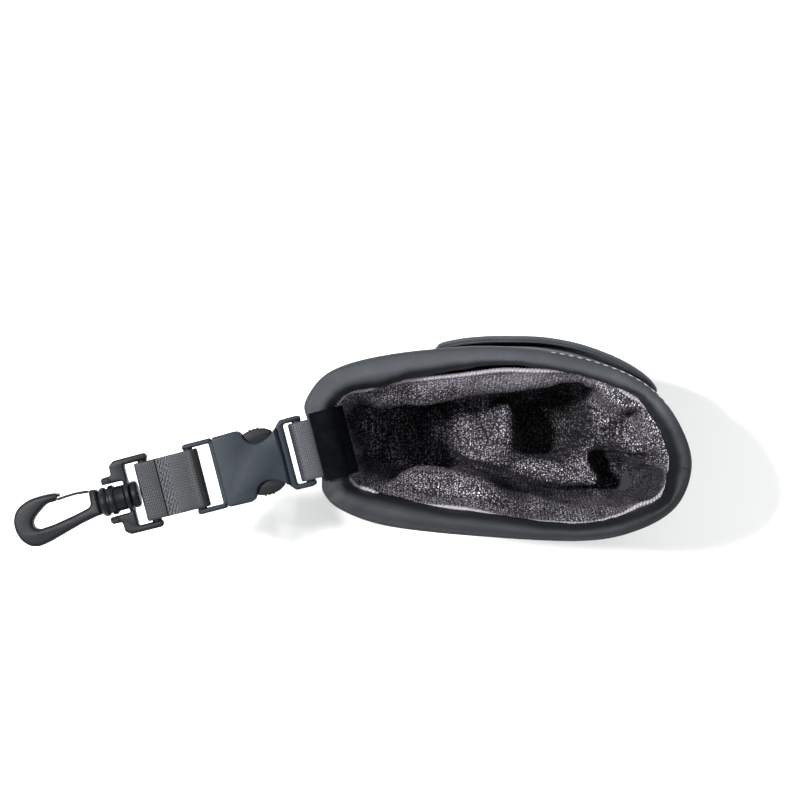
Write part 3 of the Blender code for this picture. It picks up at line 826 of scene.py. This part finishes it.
def lining_floor(x, y):
    """Height of the lining's crumpled bottom, all in millimetres."""
    lip = -13.0 - 1.0 * np.sin(y * 0.22)
    plateau = 19 * step(x, lip - 1.2, lip + 0.8) + 6 * step(x, -12, 0)
    plateau += 20 * swell(x, 8.5, 8) * swell(y, 5, 13)
    right = 4 * step(x, 24, 33) + 42 * np.clip((x - 32) / 24, 0, 1)
    ridge = 12 * swell(x, -19.5, 2.4) * swell(y, 1, 10)
    left_ridge = 6 * swell(x, -34 + y * 0.3, 3.0) * step(-y, -12, 8)
    height = FLOOR / MM + plateau + right + ridge + left_ridge
    ring = np.hypot((x - 21) / 12.8, (y - 6) / 13.5) + 0.05 * np.sin(x * 0.5 + y * 0.4)
    bowl = step(x + 0.25 * y, 6, 17) * (1 - step(ring, 0.9, 1.16))
    height = height * (1 - bowl) + 5 * bowl
    hollow = step(x + 0.35 * y, 33.5, 38.5) * step(-y, 1, 8)
    height = height * (1 - hollow) + 17 * hollow
    return np.maximum(height, FLOOR / MM)


def cut_corners(path, times):
    for _ in range(times):
        near = path[:-1] * 0.75 + path[1:] * 0.25
        far = path[:-1] * 0.25 + path[1:] * 0.75
        middle = np.stack([near, far], axis=1).reshape(-1, path.shape[1])
        path = np.concatenate([path[:1], middle, path[-1:]])
    return path


def lining_column(hem, spine, turn):
    """Points down the lining from its hem to its foot, then on to the middle of its bottom."""
    places, *sizes = LINING_KNOTS.T
    shelf, lip, under, foot, foot_height = (np.interp(turn, places, size) for size in sizes)
    inward = spine - hem[:2]
    reach = np.linalg.norm(inward) / MM
    inward = inward / np.linalg.norm(inward)
    top = hem[2] / MM
    foot = min(foot, reach * 0.8)
    side = np.array([
        (0, top),
        (shelf * 0.3, top - (top - lip) * 0.32),
        (shelf * 0.75, top - (top - lip) * 0.62),
        (shelf, lip),
        (shelf - under * 0.3, lip * 0.85 + foot_height * 0.15),
        (shelf - under, lip * 0.5 + foot_height * 0.5),
        ((shelf - under) * 0.6 + foot * 0.4, lip * 0.12 + foot_height * 0.88),
        (foot, foot_height),
    ])
    side = cut_corners(side, 3)
    gone = np.linspace(foot, reach, 150)
    flat = hem[:2] / MM + inward * gone[:, None]
    floor = lining_floor(flat[:, 0], flat[:, 1])
    settle = step(gone, foot, foot + 4)
    floor = foot_height * (1 - settle) + floor * settle
    wall = np.column_stack([hem[:2] / MM + inward * side[:, :1], side[:, 1]])
    bottom = np.column_stack([flat, floor])
    bottom = even_steps(bottom, BOTTOM_ROWS)
    return np.concatenate([even_steps(wall, LINING_ROWS), bottom[1:]]) * MM


def fan(x, y, sharpness):
    """How far from a valley of the right end's folds, and how far along them."""
    angle = np.arctan2(y - FAN[1], x - FAN[0])
    return np.abs(np.sin(4 * (angle + 0.1))) ** sharpness, np.hypot(x - FAN[0], y - FAN[1])


def crumple(points, turns):
    """Folds radiating in the right end, a crease under the front's pillow, and soft wrinkles."""
    x, y = points[..., 0] / MM, points[..., 1] / MM
    folds, away = fan(x, y, 0.7)
    folds = folds * step(away, 7, 17) * step(x, 31, 38) * step(y, -11, -5) * 3.6
    gone = np.linspace(0, 1, len(points))[:, None]
    seam = swell(turns, 14.8, 0.6)
    groove = -2.2 * swell(gone, 0.1, 0.016) * seam
    pillow = 2.0 * swell(gone, 0.19, 0.06) * seam
    broad = soft_noise(points * (1, 1, 0.5), 0.015, 5.3) * 2.1
    pulls = soft_noise(points * (1.0, 0.35, 0.35), 0.0045, 8.9) * 0.55
    fine = soft_noise(points, 0.0032, 2.9) * 0.16
    hold = step(gone, 0.0, 0.07)
    return (folds + broad + pulls) * hold + groove + pillow + fine * step(gone, 0.0, 0.02)


def beside(places, start, end, half_width):
    """1 on a straight line across the lining, fading to 0 half a width away from it."""
    gap = np.linalg.norm(places - nearest_on_line(places, np.array(start), end), axis=-1)
    return 1 - step(gap, 0.2 * half_width, half_width)


def lining_shade(points):
    """Painted shade in the knit's bowl, right hollow, fold valleys, creases and dips; painted light
    on its back shelf.
    """
    x, y, z = (points[..., k] / MM for k in range(3))
    ring = np.hypot((x - 24.5) / 16.5, (y - 3.5) / 15) + 0.06 * np.sin(x * 0.45 - y * 0.3)
    bowl = (1 - step(ring, 0.72, 1.06)) * (0.55 + 0.45 * step(x + 0.4 * y, 8, 22))
    hollow = np.hypot((x - 51) / 12, (y + 15) / 11) + 0.08 * np.sin(x * 0.6 + y * 0.5)
    hollow = (1 - step(hollow, 0.55, 1.1)) * (1 - step(z, 64, 72))
    patches = 0.88 + 0.45 * soft_noise(points, 0.005, 4.1)
    shade = np.maximum(bowl * 0.97, hollow * np.clip(patches, 0, 1))
    folds, away = fan(x, y, 0.4)
    valleys = (1 - folds) * step(away, 6, 12) * step(x, 30, 36) * step(y, -14, -6)
    shade = np.maximum(shade, valleys * 0.75)
    for start, end, half_width, depth in CREASES:
        shade = np.maximum(shade, depth * beside(points[..., :2] / MM, start, end, half_width))
    # Painted shade in sunken places, from how far each point lies below its blurred neighbours.
    blurred = points
    for _ in range(14):
        around = np.roll(blurred, 1, axis=1) + np.roll(blurred, -1, axis=1)
        above = np.concatenate([blurred[:1], blurred[:-1]])
        below = np.concatenate([blurred[1:], blurred[-1:]])
        blurred = (around + above + below) / 4
    sunk = ((blurred - points) * sheet_normals(points)).sum(axis=-1) / MM
    shade = shade + 0.7 * np.clip(sunk / 0.35, -0.4, 1)
    shade = np.clip(shade, 0, 1) * step(-z, -77, -72)
    # Painted light on the back wall's shelf, as shade below 0.
    return shade - 1.1 * swell(x, 4, 42) * step(y, 15, 22) * step(z, 34, 50)


def kept_inside(points, turns, inward):
    """Moves whatever of the lining would pass through the shell back inside it."""
    heights = np.clip(points[..., 2], 2 * MM, 78 * MM)
    shell = soft_wall(turns, heights, SHELL_DEPTH)
    clear = ((points[..., :2] - shell[..., :2]) * inward).sum(axis=-1)
    short = np.clip(LINING_CLEAR - clear, 0, None)
    points[..., :2] += inward * short[..., None]
    return points


def add_lining():
    turns = np.linspace(0, LAST_TURN, 361)[:-1]
    hems = hem_points(turns)
    spines = nearest_on_line(hems[:, :2], LINING_SPINE_LEFT, LINING_SPINE_RIGHT)
    columns = [lining_column(*places) for places in zip(hems, spines, turns)]
    points = np.array(columns).transpose(1, 0, 2)
    rows = len(points)
    for _ in range(4):
        around = np.roll(points, 1, axis=1) + np.roll(points, -1, axis=1)
        points[1:] = points[1:] * 0.5 + around[1:] * 0.25
    settle = np.clip((rows - 1 - np.arange(rows)) / 8.0, 0, 1)[:, None]
    swing = crumple(points, turns) * settle
    points = points + sheet_normals(points) * swing[..., None] * MM
    points[..., 2] = np.maximum(points[..., 2], LINING_LOW)
    inward = spines - hems[:, :2]
    points = kept_inside(points, turns, inward / np.linalg.norm(inward, axis=1, keepdims=True))
    cloth = np.zeros((*points.shape[:2], 2))
    cloth[..., 0] = distance_along(hems) / MM * 0.9
    down = np.linalg.norm(np.diff(points, axis=0), axis=2)
    cloth[1:, :, 1] = np.cumsum(down, axis=0) / MM
    shade = lining_shade(points)
    half = int(round(LEFT_SEAM / LAST_TURN * len(turns)))
    wrapped = (
        np.concatenate([points, points[:, :1]], axis=1),
        np.concatenate([cloth, cloth[:, -1:] + (0.8, 0)], axis=1),
        np.concatenate([shade, shade[:, :1]], axis=1),
    )
    for name, span in (("lining_back", slice(0, half + 1)), ("lining_front", slice(half, None))):
        panel, panel_cloth, panel_shade = (grid[:LINING_ROWS, span] for grid in wrapped)
        add_knit(name, grid_mesh(name, panel, panel_cloth, shade=panel_shade))
    bottom = slice(LINING_ROWS - 1, None)
    # Steep faces of the bottom get painted shade as well.
    steep = 1 - np.abs(sheet_normals(points)[bottom, :, 2])
    depth = np.maximum(shade[bottom], step(steep, 0.5, 0.8))
    flat = points[bottom, :, :2] / MM
    mesh = grid_mesh("lining_base", points[bottom], flat, closed=True, shade=depth)
    add_knit("lining_base", mesh)


def add_knit(name, mesh):
    new_piece("knit_" + name, mesh, KNIT, name, thick=LINING_THICK)


def add_hem():
    path = hem_points(np.linspace(0, LAST_TURN, 1801)[:-1])
    mesh = tube_mesh("overlock_hem", path, HEM_RADIUS, True, lobes=5200.0, lobe_size=HEM_LOBE)
    new_piece("overlock_hem", mesh, OVERLOCK, "lining_hem")


# Webbing


def ribbon_mesh(name, path, half_width, thick, painted_shade=((0.0,), (0.0,))):
    """Webbing swept along a path of (along, up) points of the clip strap, edges rounded.

    The last argument gives places along the strap and how much painted shade the webbing carries
    there.
    """
    ahead = np.gradient(path, axis=0)
    ahead /= np.linalg.norm(ahead, axis=1, keepdims=True)
    half = thick / 2
    flat = np.linspace(-1, 1, 23) * (half_width - half)
    arc = np.linspace(np.pi / 2, -np.pi / 2, 7)[1:-1]
    top = [(y, half) for y in flat]
    right = [(half_width - half + half * math.cos(a), half * math.sin(a)) for a in arc]
    section = np.array(top + right + [(-y, -h) for y, h in top] + [(-y, -h) for y, h in right])
    flat = np.zeros(len(path))
    centre = np.column_stack([path[:, 0], flat, path[:, 1]])
    out = np.column_stack([-ahead[:, 1], flat, ahead[:, 0]])
    points = centre[:, None, :] + out[:, None, :] * section[None, :, 1, None]
    points[..., 1] += section[None, :, 0]
    points = np.array([[CLIP @ Vector(p) for p in row] for row in points])
    shade = np.interp(path[:, 0], *painted_shade)[:, None] * np.ones(len(section))
    cloth = cloth_grid(distance_along(section), distance_along(path))
    mesh = grid_mesh(name, points, cloth, closed=True, shade=shade)
    close_ends(mesh)
    return mesh


def smooth_path(knots, count):
    """A smooth curve through knots, in even steps."""
    padded = np.concatenate([[2 * knots[0] - knots[1]], knots, [2 * knots[-1] - knots[-2]]])
    share = np.linspace(0, 1, 30, endpoint=False)[:, None]
    dense = [curve_through(*padded[index : index + 4], share) for index in range(len(knots) - 1)]
    return even_steps(np.concatenate([*dense, knots[-1:]]), count)


def arc_path(centre, radius, start, stop, count):
    angles = np.radians(np.linspace(start, stop, count))
    return np.array(centre) + radius * np.column_stack([np.cos(angles), np.sin(angles)])


def add_loop_webbing():
    ring = arc_path((SOCKET_BAR_X, 0.0), LOOP_RADIUS, 300, 75, 40)
    tail = [(60.9, 2.2), (64.0, 0.95), (66.5, 0.55), (68.3, -2.0), (70.3, -7.2), (72.4, -13.5)]
    path = smooth_path(np.concatenate([ring[::6], np.array(tail) * MM]), 120)
    mesh = ribbon_mesh("loop_webbing", path, WEB_HALF_WIDTH, WEB_THICK)
    new_piece("sewn_loop_webbing", mesh, WEBBING, "loop_webbing")


def add_tab():
    """The smooth black patch that covers the webbing where it is sewn over the rim."""
    knots = [(62.3, 2.35), (64.2, 1.95), (66.6, 1.75), (68.4, 0.8), (69.9, -1.6), (71.2, -6.8)]
    knots.append((73.0, -13.6))
    path = smooth_path(np.array(knots) * MM, 60)
    mesh = ribbon_mesh("rim_tab", path, TAB_HALF_WIDTH, TAB_THICK)
    new_piece("rim_tab", mesh, TAB)


def add_strap():
    left = arc_path((BASE_BAR_X, 0.0), LOOP_RADIUS, 270, 90, 24)
    right = arc_path((INSERT_BAR_X, 0.0), LOOP_RADIUS, 90, -90, 24)
    over = [(BASE_BAR_X + 4 * MM, 0.95 * MM), (INSERT_BAR_X - 5 * MM, 0.8 * MM)]
    under = [(INSERT_BAR_X - 5 * MM, -0.7 * MM), (BASE_BAR_X + 4.2 * MM, -0.7 * MM)]
    knots = np.concatenate([over, right[::4], under, left[::4]])
    # Painted shade on the webbing near the two bars it wraps.
    left_ends = (BASE_BAR_X, BASE_BAR_X + 6.0 * MM, BASE_BAR_X + 9.0 * MM)
    right_ends = (INSERT_BAR_X - 8.5 * MM, INSERT_BAR_X - 4.5 * MM, INSERT_BAR_X)
    painted_shade = ((*left_ends, *right_ends), (0.85, 0.7, 0.0, 0.0, 0.7, 0.9))
    path = smooth_path(knots, 200)
    mesh = ribbon_mesh("strap_webbing", path, WEB_HALF_WIDTH, WEB_THICK, painted_shade)
    new_piece("sewn_strap_webbing", mesh, WEBBING, "strap_webbing", "strap")


# Moulded parts of the clip strap


def moulded_plate(name, outline, half, edge):
    """A flat outline in millimetres, given thickness and a rounded edge, in the clip's frame."""
    curve = bpy.data.curves.new(name, "CURVE")
    curve.dimensions = "2D"
    curve.fill_mode = "BOTH"
    curve.extrude = half - edge
    curve.bevel_depth = edge
    curve.bevel_resolution = 3
    curve.offset = -edge
    spline = curve.splines.new("POLY")
    spline.points.add(len(outline) - 1)
    spline.use_cyclic_u = True
    for knot, (x, y) in zip(spline.points, outline):
        knot.co = (x * MM, y * MM, 0.0, 1.0)
    holder = bpy.data.objects.new(name, curve)
    bpy.context.scene.collection.objects.link(holder)
    bpy.context.view_layer.update()
    graph = bpy.context.evaluated_depsgraph_get()
    mesh = bpy.data.meshes.new_from_object(holder.evaluated_get(graph))
    bpy.data.objects.remove(holder)
    body = bmesh.new()
    body.from_mesh(mesh)
    bmesh.ops.remove_doubles(body, verts=body.verts, dist=0.000002)
    bmesh.ops.recalc_face_normals(body, faces=body.faces)
    body.transform(CLIP)
    body.to_mesh(mesh)
    body.free()
    mesh.shade_smooth()
    mesh.set_sharp_from_angle(angle=SHARP_ANGLE)
    return mesh


def both_sides(points):
    return points + [(x, -y) for x, y in reversed(points)]


def rounded(points, radius, steps=4):
    """A closed outline with each corner rounded off."""
    points = [Vector(point) for point in points]
    soft = []
    for index, here in enumerate(points):
        before = points[index - 1] - here
        after = points[(index + 1) % len(points)] - here
        reach = min(radius, before.length * 0.45, after.length * 0.45)
        start = here + before.normalized() * reach
        stop = here + after.normalized() * reach
        for step_index in range(steps + 1):
            share = step_index / steps
            near = start.lerp(here, share)
            far = here.lerp(stop, share)
            soft.append(tuple(near.lerp(far, share)))
    return soft


def joined(name, meshes):
    body = bmesh.new()
    for mesh in meshes:
        body.from_mesh(mesh)
    mesh = mesh_from(body, name)
    mesh.set_sharp_from_angle(angle=SHARP_ANGLE)
    return mesh


def clip_rod(x, half_width):
    """A round bar across the clip strap."""
    body = bmesh.new()
    size = {"radius1": BAR_RADIUS, "radius2": BAR_RADIUS, "depth": 2 * half_width}
    place = CLIP @ Matrix.Translation((x, 0, 0)) @ Matrix.Rotation(math.pi / 2, 4, "X")
    bmesh.ops.create_cone(body, cap_ends=True, segments=24, **size, matrix=place)
    return mesh_from(body, "bar")


def clip_block(low, high, edge=0.5):
    """A block with softened edges between two corners, in millimetres."""
    low, high = Vector(low) * MM, Vector(high) * MM
    body = bmesh.new()
    bmesh.ops.create_cube(body, size=1.0)
    bmesh.ops.scale(body, vec=high - low, verts=body.verts)
    bmesh.ops.translate(body, vec=(low + high) / 2, verts=body.verts)
    bmesh.ops.bevel(body, geom=body.edges, offset=edge * MM, segments=3, affect="EDGES")
    body.transform(CLIP)
    return mesh_from(body, "block")


SOCKET_HALF_DEPTH = 4.2 * MM
FRAME_HALF_DEPTH = 2.2 * MM
BUCKLE_BAR_HALF_WIDTH, HOOK_BAR_HALF_WIDTH = 11.0 * MM, 11.5 * MM


def add_socket():
    half = [(28.9, 0.0), (28.9, 10.9), (29.6, 11.9), (37.2, 12.1), (38.2, 11.6), (38.9, 10.6)]
    half += [(39.4, 9.2), (40.2, 7.8), (41.4, 6.9), (42.9, 6.4), (44.4, 6.4), (46.0, 6.8)]
    half += [(47.7, 7.6), (49.3, 8.8), (50.4, 9.9), (50.6, 0.0)]
    outline = rounded(both_sides(half)[1:-1], 0.5, 2)
    wall = 1.5 * MM
    meshes = []
    for side in (1, -1):
        plate = moulded_plate("socket_face", outline, wall / 2, 0.6 * MM)
        plate.transform(Matrix.Translation((0, 0, side * (SOCKET_HALF_DEPTH - wall / 2))))
        meshes.append(plate)
    for side in (1, -1):
        cheek = rounded([(29.2, 10.9), (29.2, 11.7), (37.3, 12.0), (38.2, 10.9)], 0.3, 2)
        cheek = [(x, side * y) for x, y in cheek]
        meshes.append(moulded_plate("socket_cheek", cheek, 2.9 * MM, 0.2 * MM))
    web = rounded([(49.4, 8.6), (50.6, 9.9), (50.6, -9.9), (49.4, -8.6)], 0.2, 2)
    meshes.append(moulded_plate("socket_back", web, 2.9 * MM, 0.2 * MM))
    tail = [(49.8, 9.2), (51.2, 10.9), (52.3, 12.0), (58.0, 12.1), (59.3, 11.6), (59.3, 10.3)]
    tail += [(53.5, 10.3), (53.0, 9.8)]
    outer = rounded(both_sides(tail), 0.45, 3)
    meshes.append(moulded_plate("socket_tail", outer, FRAME_HALF_DEPTH, 0.7 * MM))
    meshes.append(clip_rod(SOCKET_BAR_X, BUCKLE_BAR_HALF_WIDTH))
    mesh = joined("buckle_socket", meshes)
    new_piece("moulded_socket", mesh, BUCKLE, "buckle_socket", "buckle")


def add_insert():
    half = [(18.7, 10.3), (18.7, 11.4), (19.4, 12.0), (28.6, 12.0), (28.6, 10.6), (31.6, 10.5)]
    half += [(31.6, 2.6), (32.6, 1.8), (44.8, 1.6), (46.0, 0.9)]
    loop = both_sides(half) + [(27.6, -10.3), (27.6, 10.3)]
    plate = moulded_plate("insert", rounded(loop, 0.5, 3), FRAME_HALF_DEPTH, 0.6 * MM)
    meshes = [plate, clip_rod(INSERT_BAR_X, BUCKLE_BAR_HALF_WIDTH)]
    mesh = joined("buckle_insert", meshes)
    new_piece("moulded_insert", mesh, BUCKLE, "buckle_insert", "buckle")


def add_prongs():
    points = [(32.0, 7.5), (32.0, 9.3), (38.5, 9.1), (39.3, 10.4), (41.4, 11.0), (44.0, 11.25)]
    points += [(46.8, 10.7), (48.9, 9.4), (48.9, 8.6), (47.0, 6.4), (44.5, 5.6), (41.5, 5.8)]
    points.append((38.6, 7.4))
    for name, side in (("prong_back", 1), ("prong_front", -1)):
        outline = rounded([(x, side * y) for x, y in points], 0.6, 3)
        meshes = [moulded_plate(name, outline, FRAME_HALF_DEPTH, 0.5 * MM)]
        for x in (41.8, 43.2, 44.6):
            rib = clip_block((x - 0.25, 10.2, -1.5), (x + 0.25, 11.45, 1.5), 0.12)
            if side < 0:
                rib.transform(CLIP @ Matrix.Diagonal((1, -1, 1, 1)) @ CLIP.inverted())
                rib.flip_normals()
            meshes.append(rib)
        mesh = joined(name, meshes)
        new_piece("moulded_" + name, mesh, PRONG_PAINTED_SHADE, name, name)


def add_hook_base():
    half = [(6.5, 10.4), (6.6, 12.0), (5.8, 12.7), (-4.6, 12.6), (-6.4, 11.2), (-6.5, 8.0)]
    half += [(-9.5, 7.9), (-10.2, 7.2), (-10.1, 5.5), (-3.1, 5.4)]
    outline = rounded(both_sides(half) + [(-1.5, -10.4), (-1.5, 10.4)], 0.6, 4)
    plate = moulded_plate("frame", outline, FRAME_HALF_DEPTH, 0.7 * MM)
    meshes = [plate, clip_rod(BASE_BAR_X, HOOK_BAR_HALF_WIDTH)]
    rim = [(-1.55, 2.65), (-1.55, 5.3), (-1.8, 5.6), (-2.7, 5.6), (-2.95, 5.3), (-2.95, 2.65)]
    meshes.append(turned_mesh("collar", rim + rim[:1]))
    for middle in (6.7, -6.7):
        meshes.append(clip_block((-9.9, middle - 0.9, -3.0), (-6.9, middle + 0.9, 3.0), 0.5))
    mesh = joined("hook_base", meshes)
    new_piece("moulded_hook_base", mesh, HOOK, "hook_base", "hook_frame")


def turned_mesh(name, profile, sides=40):
    """A profile of (along, radius) points in millimetres, turned about the clip's long axis."""
    body = bmesh.new()
    rings = []
    for along, radius in profile:
        ring = []
        for index in range(sides):
            angle = 2 * math.pi * index / sides
            place = (along * MM, radius * MM * math.cos(angle), radius * MM * math.sin(angle))
            ring.append(body.verts.new(place))
        rings.append(ring)
    for here, there in zip(rings, rings[1:]):
        for index in range(sides):
            after = (index + 1) % sides
            body.faces.new((here[index], here[after], there[after], there[index]))
    bmesh.ops.remove_doubles(body, verts=body.verts, dist=0.000005)
    bmesh.ops.recalc_face_normals(body, faces=body.faces)
    body.transform(CLIP)
    return mesh_from(body, name)


def add_stud():
    profile = [(1.0, 0.01), (1.0, 3.8), (0.7, 4.35), (0.2, 4.5), (-0.7, 4.5), (-1.1, 4.2)]
    profile += [(-1.2, 2.3), (-3.3, 2.3), (-3.3, 3.9), (-3.6, 4.15), (-6.4, 4.2), (-6.7, 4.3)]
    profile += [(-7.0, 4.8), (-7.4, 4.95), (-8.2, 4.95), (-8.6, 4.8), (-8.9, 4.25), (-9.4, 4.2)]
    profile += [(-9.8, 4.7), (-10.2, 4.9), (-11.0, 4.9), (-11.4, 4.75), (-12.0, 4.1), (-12.0, 0.01)]
    mesh = joined("swivel_stud", [turned_mesh("stud", profile)])
    new_piece("turned_stud", mesh, HOOK, "swivel_stud", "hook")


def add_hook():
    points = [(-12.2, -3.9), (-14.2, -3.95), (-19.5, -5.0), (-24.6, -6.4), (-32.0, -8.5)]
    points += [(-35.4, -9.0), (-38.2, -8.1), (-40.6, -5.6), (-41.7, -2.2), (-41.6, 1.2)]
    points += [(-40.4, 3.9), (-38.0, 5.9), (-34.6, 7.1), (-30.4, 7.4), (-26.1, 7.1), (-24.6, 6.1)]
    points += [(-24.8, 5.6), (-26.0, 5.6), (-26.2, 4.3), (-29.2, 4.3), (-30.6, 3.6), (-33.8, 1.4)]
    points += [(-35.4, -0.4), (-35.5, -2.2), (-34.0, -3.4), (-28.6, -3.0), (-21.0, -1.6)]
    points += [(-15.4, -0.3), (-15.0, 4.5), (-14.4, 5.1), (-12.8, 4.9), (-12.2, 4.3)]
    outline = rounded(points, 1.4, 5)
    mesh = moulded_plate("hook_body", outline, 2.5 * MM, 1.15 * MM)
    new_piece("moulded_hook", mesh, HOOK, "hook_body", "hook")
    top = [(-15.3, 5.2), (-19.3, 5.6), (-22.5, 5.5), (-25.6, 5.2)]
    under = [(-25.6, 4.35), (-22.5, 4.6), (-19.3, 4.7), (-15.3, 4.3)]
    mesh = moulded_plate("hook_gate", rounded(top + under, 0.3, 3), 2.1 * MM, 0.3 * MM)
    new_piece("moulded_gate", mesh, HOOK, "hook_gate", "gate")


# Sewing on the strap


def add_strap_sewing():
    """The strap's folded-over end and the close tacking that holds it."""
    end_x = BASE_BAR_X / MM + 2.1
    knots = [(end_x - 4.4, 2.72), (end_x - 2.4, 2.55), (end_x, 2.2), (end_x + 1.9, 1.75)]
    path = smooth_path(np.array(knots) * MM, 24)
    # The folded end carries painted shade all over.
    painted_shade = ((0.0,), (0.55,))
    mesh = ribbon_mesh("strap_end", path, WEB_HALF_WIDTH - 0.1 * MM, 0.9 * MM, painted_shade)
    new_piece("strap_folded_end", mesh, WEBBING, body="strap")
    ends = []
    for row in range(5):
        for index in range(25):
            x = end_x + 2.5 + row * 0.75
            y = -9.3 + 18.6 * index / 24
            wander = 0.35 * math.sin(index * 2.4 + row * 1.9)
            start = Vector((x + wander, y - 0.42, 1.78 - 0.08 * row))
            stop = Vector((x + 0.62 + wander * 0.4, y + 0.42, 1.78 - 0.08 * row))
            ends.append((CLIP @ (start * MM), CLIP @ (stop * MM)))
    mesh = stitch_mesh("strap_tacking", ends, 0.2 * MM)
    new_piece("strap_tacking", mesh, DARK_THREAD, body="strap")


add_shell()
add_base()
add_pocket()
add_rim()
add_lining()
add_hem()
add_loop_webbing()
add_tab()
add_strap()
add_strap_sewing()
add_socket()
add_insert()
add_prongs()
add_hook_base()
add_stud()
add_hook()


# Floor, light and camera


def add_stage():
    bpy.ops.mesh.primitive_plane_add(size=6.0, location=(0, 0, -0.0002))
    floor = bpy.context.object
    floor.name = "floor"
    paper = bpy.data.materials.new("pale_paper")
    paper.use_nodes = True
    shader = paper.node_tree.nodes["Principled BSDF"]
    shader.inputs["Base Color"].default_value = (0.93, 0.93, 0.915, 1.0)
    shader.inputs["Roughness"].default_value = 0.9
    floor.data.materials.append(paper)
    world = bpy.data.worlds.new("soft_room")
    world.use_nodes = True
    tree = world.node_tree
    place = tree.nodes.new("ShaderNodeTexCoord")
    split = tree.nodes.new("ShaderNodeSeparateXYZ")
    ramp = tree.nodes.new("ShaderNodeValToRGB")
    ramp.color_ramp.elements[0].color = (0.9, 0.9, 0.9, 1.0)
    ramp.color_ramp.elements[1].color = (0.2, 0.205, 0.215, 1.0)
    ramp.color_ramp.elements[1].position = 0.9
    tree.links.new(place.outputs["Generated"], split.inputs[0])
    tree.links.new(split.outputs["Z"], ramp.inputs["Fac"])
    tree.links.new(ramp.outputs["Color"], tree.nodes["Background"].inputs["Color"])
    tree.nodes["Background"].inputs["Strength"].default_value = 2.4
    bpy.context.scene.world = world
    for name, place, size, power in (
        ("key", (-0.76, 0.2, 1.5), 0.16, 46.0),
        ("fill", (0.5, 0.6, 1.7), 1.2, 5.0),
    ):
        light = bpy.data.lights.new(name, "AREA")
        light.shape = "SQUARE"
        light.size = size
        light.energy = power
        lamp = bpy.data.objects.new(name, light)
        lamp.location = place
        aim = Vector((0, 0, 0.05)) - lamp.location
        lamp.rotation_euler = aim.to_track_quat("-Z", "Y").to_euler()
        bpy.context.scene.collection.objects.link(lamp)
    bpy.context.scene.view_settings.view_transform = "Standard"


def add_camera():
    camera = bpy.data.cameras.new("camera")
    camera.lens = 81.0
    camera.sensor_width = 36.0
    holder = bpy.data.objects.new("camera", camera)
    holder.location = (-0.0323, 0.0143, RIM_TOP + 0.6)
    bpy.context.scene.collection.objects.link(holder)
    bpy.context.scene.camera = holder


add_stage()
add_camera()
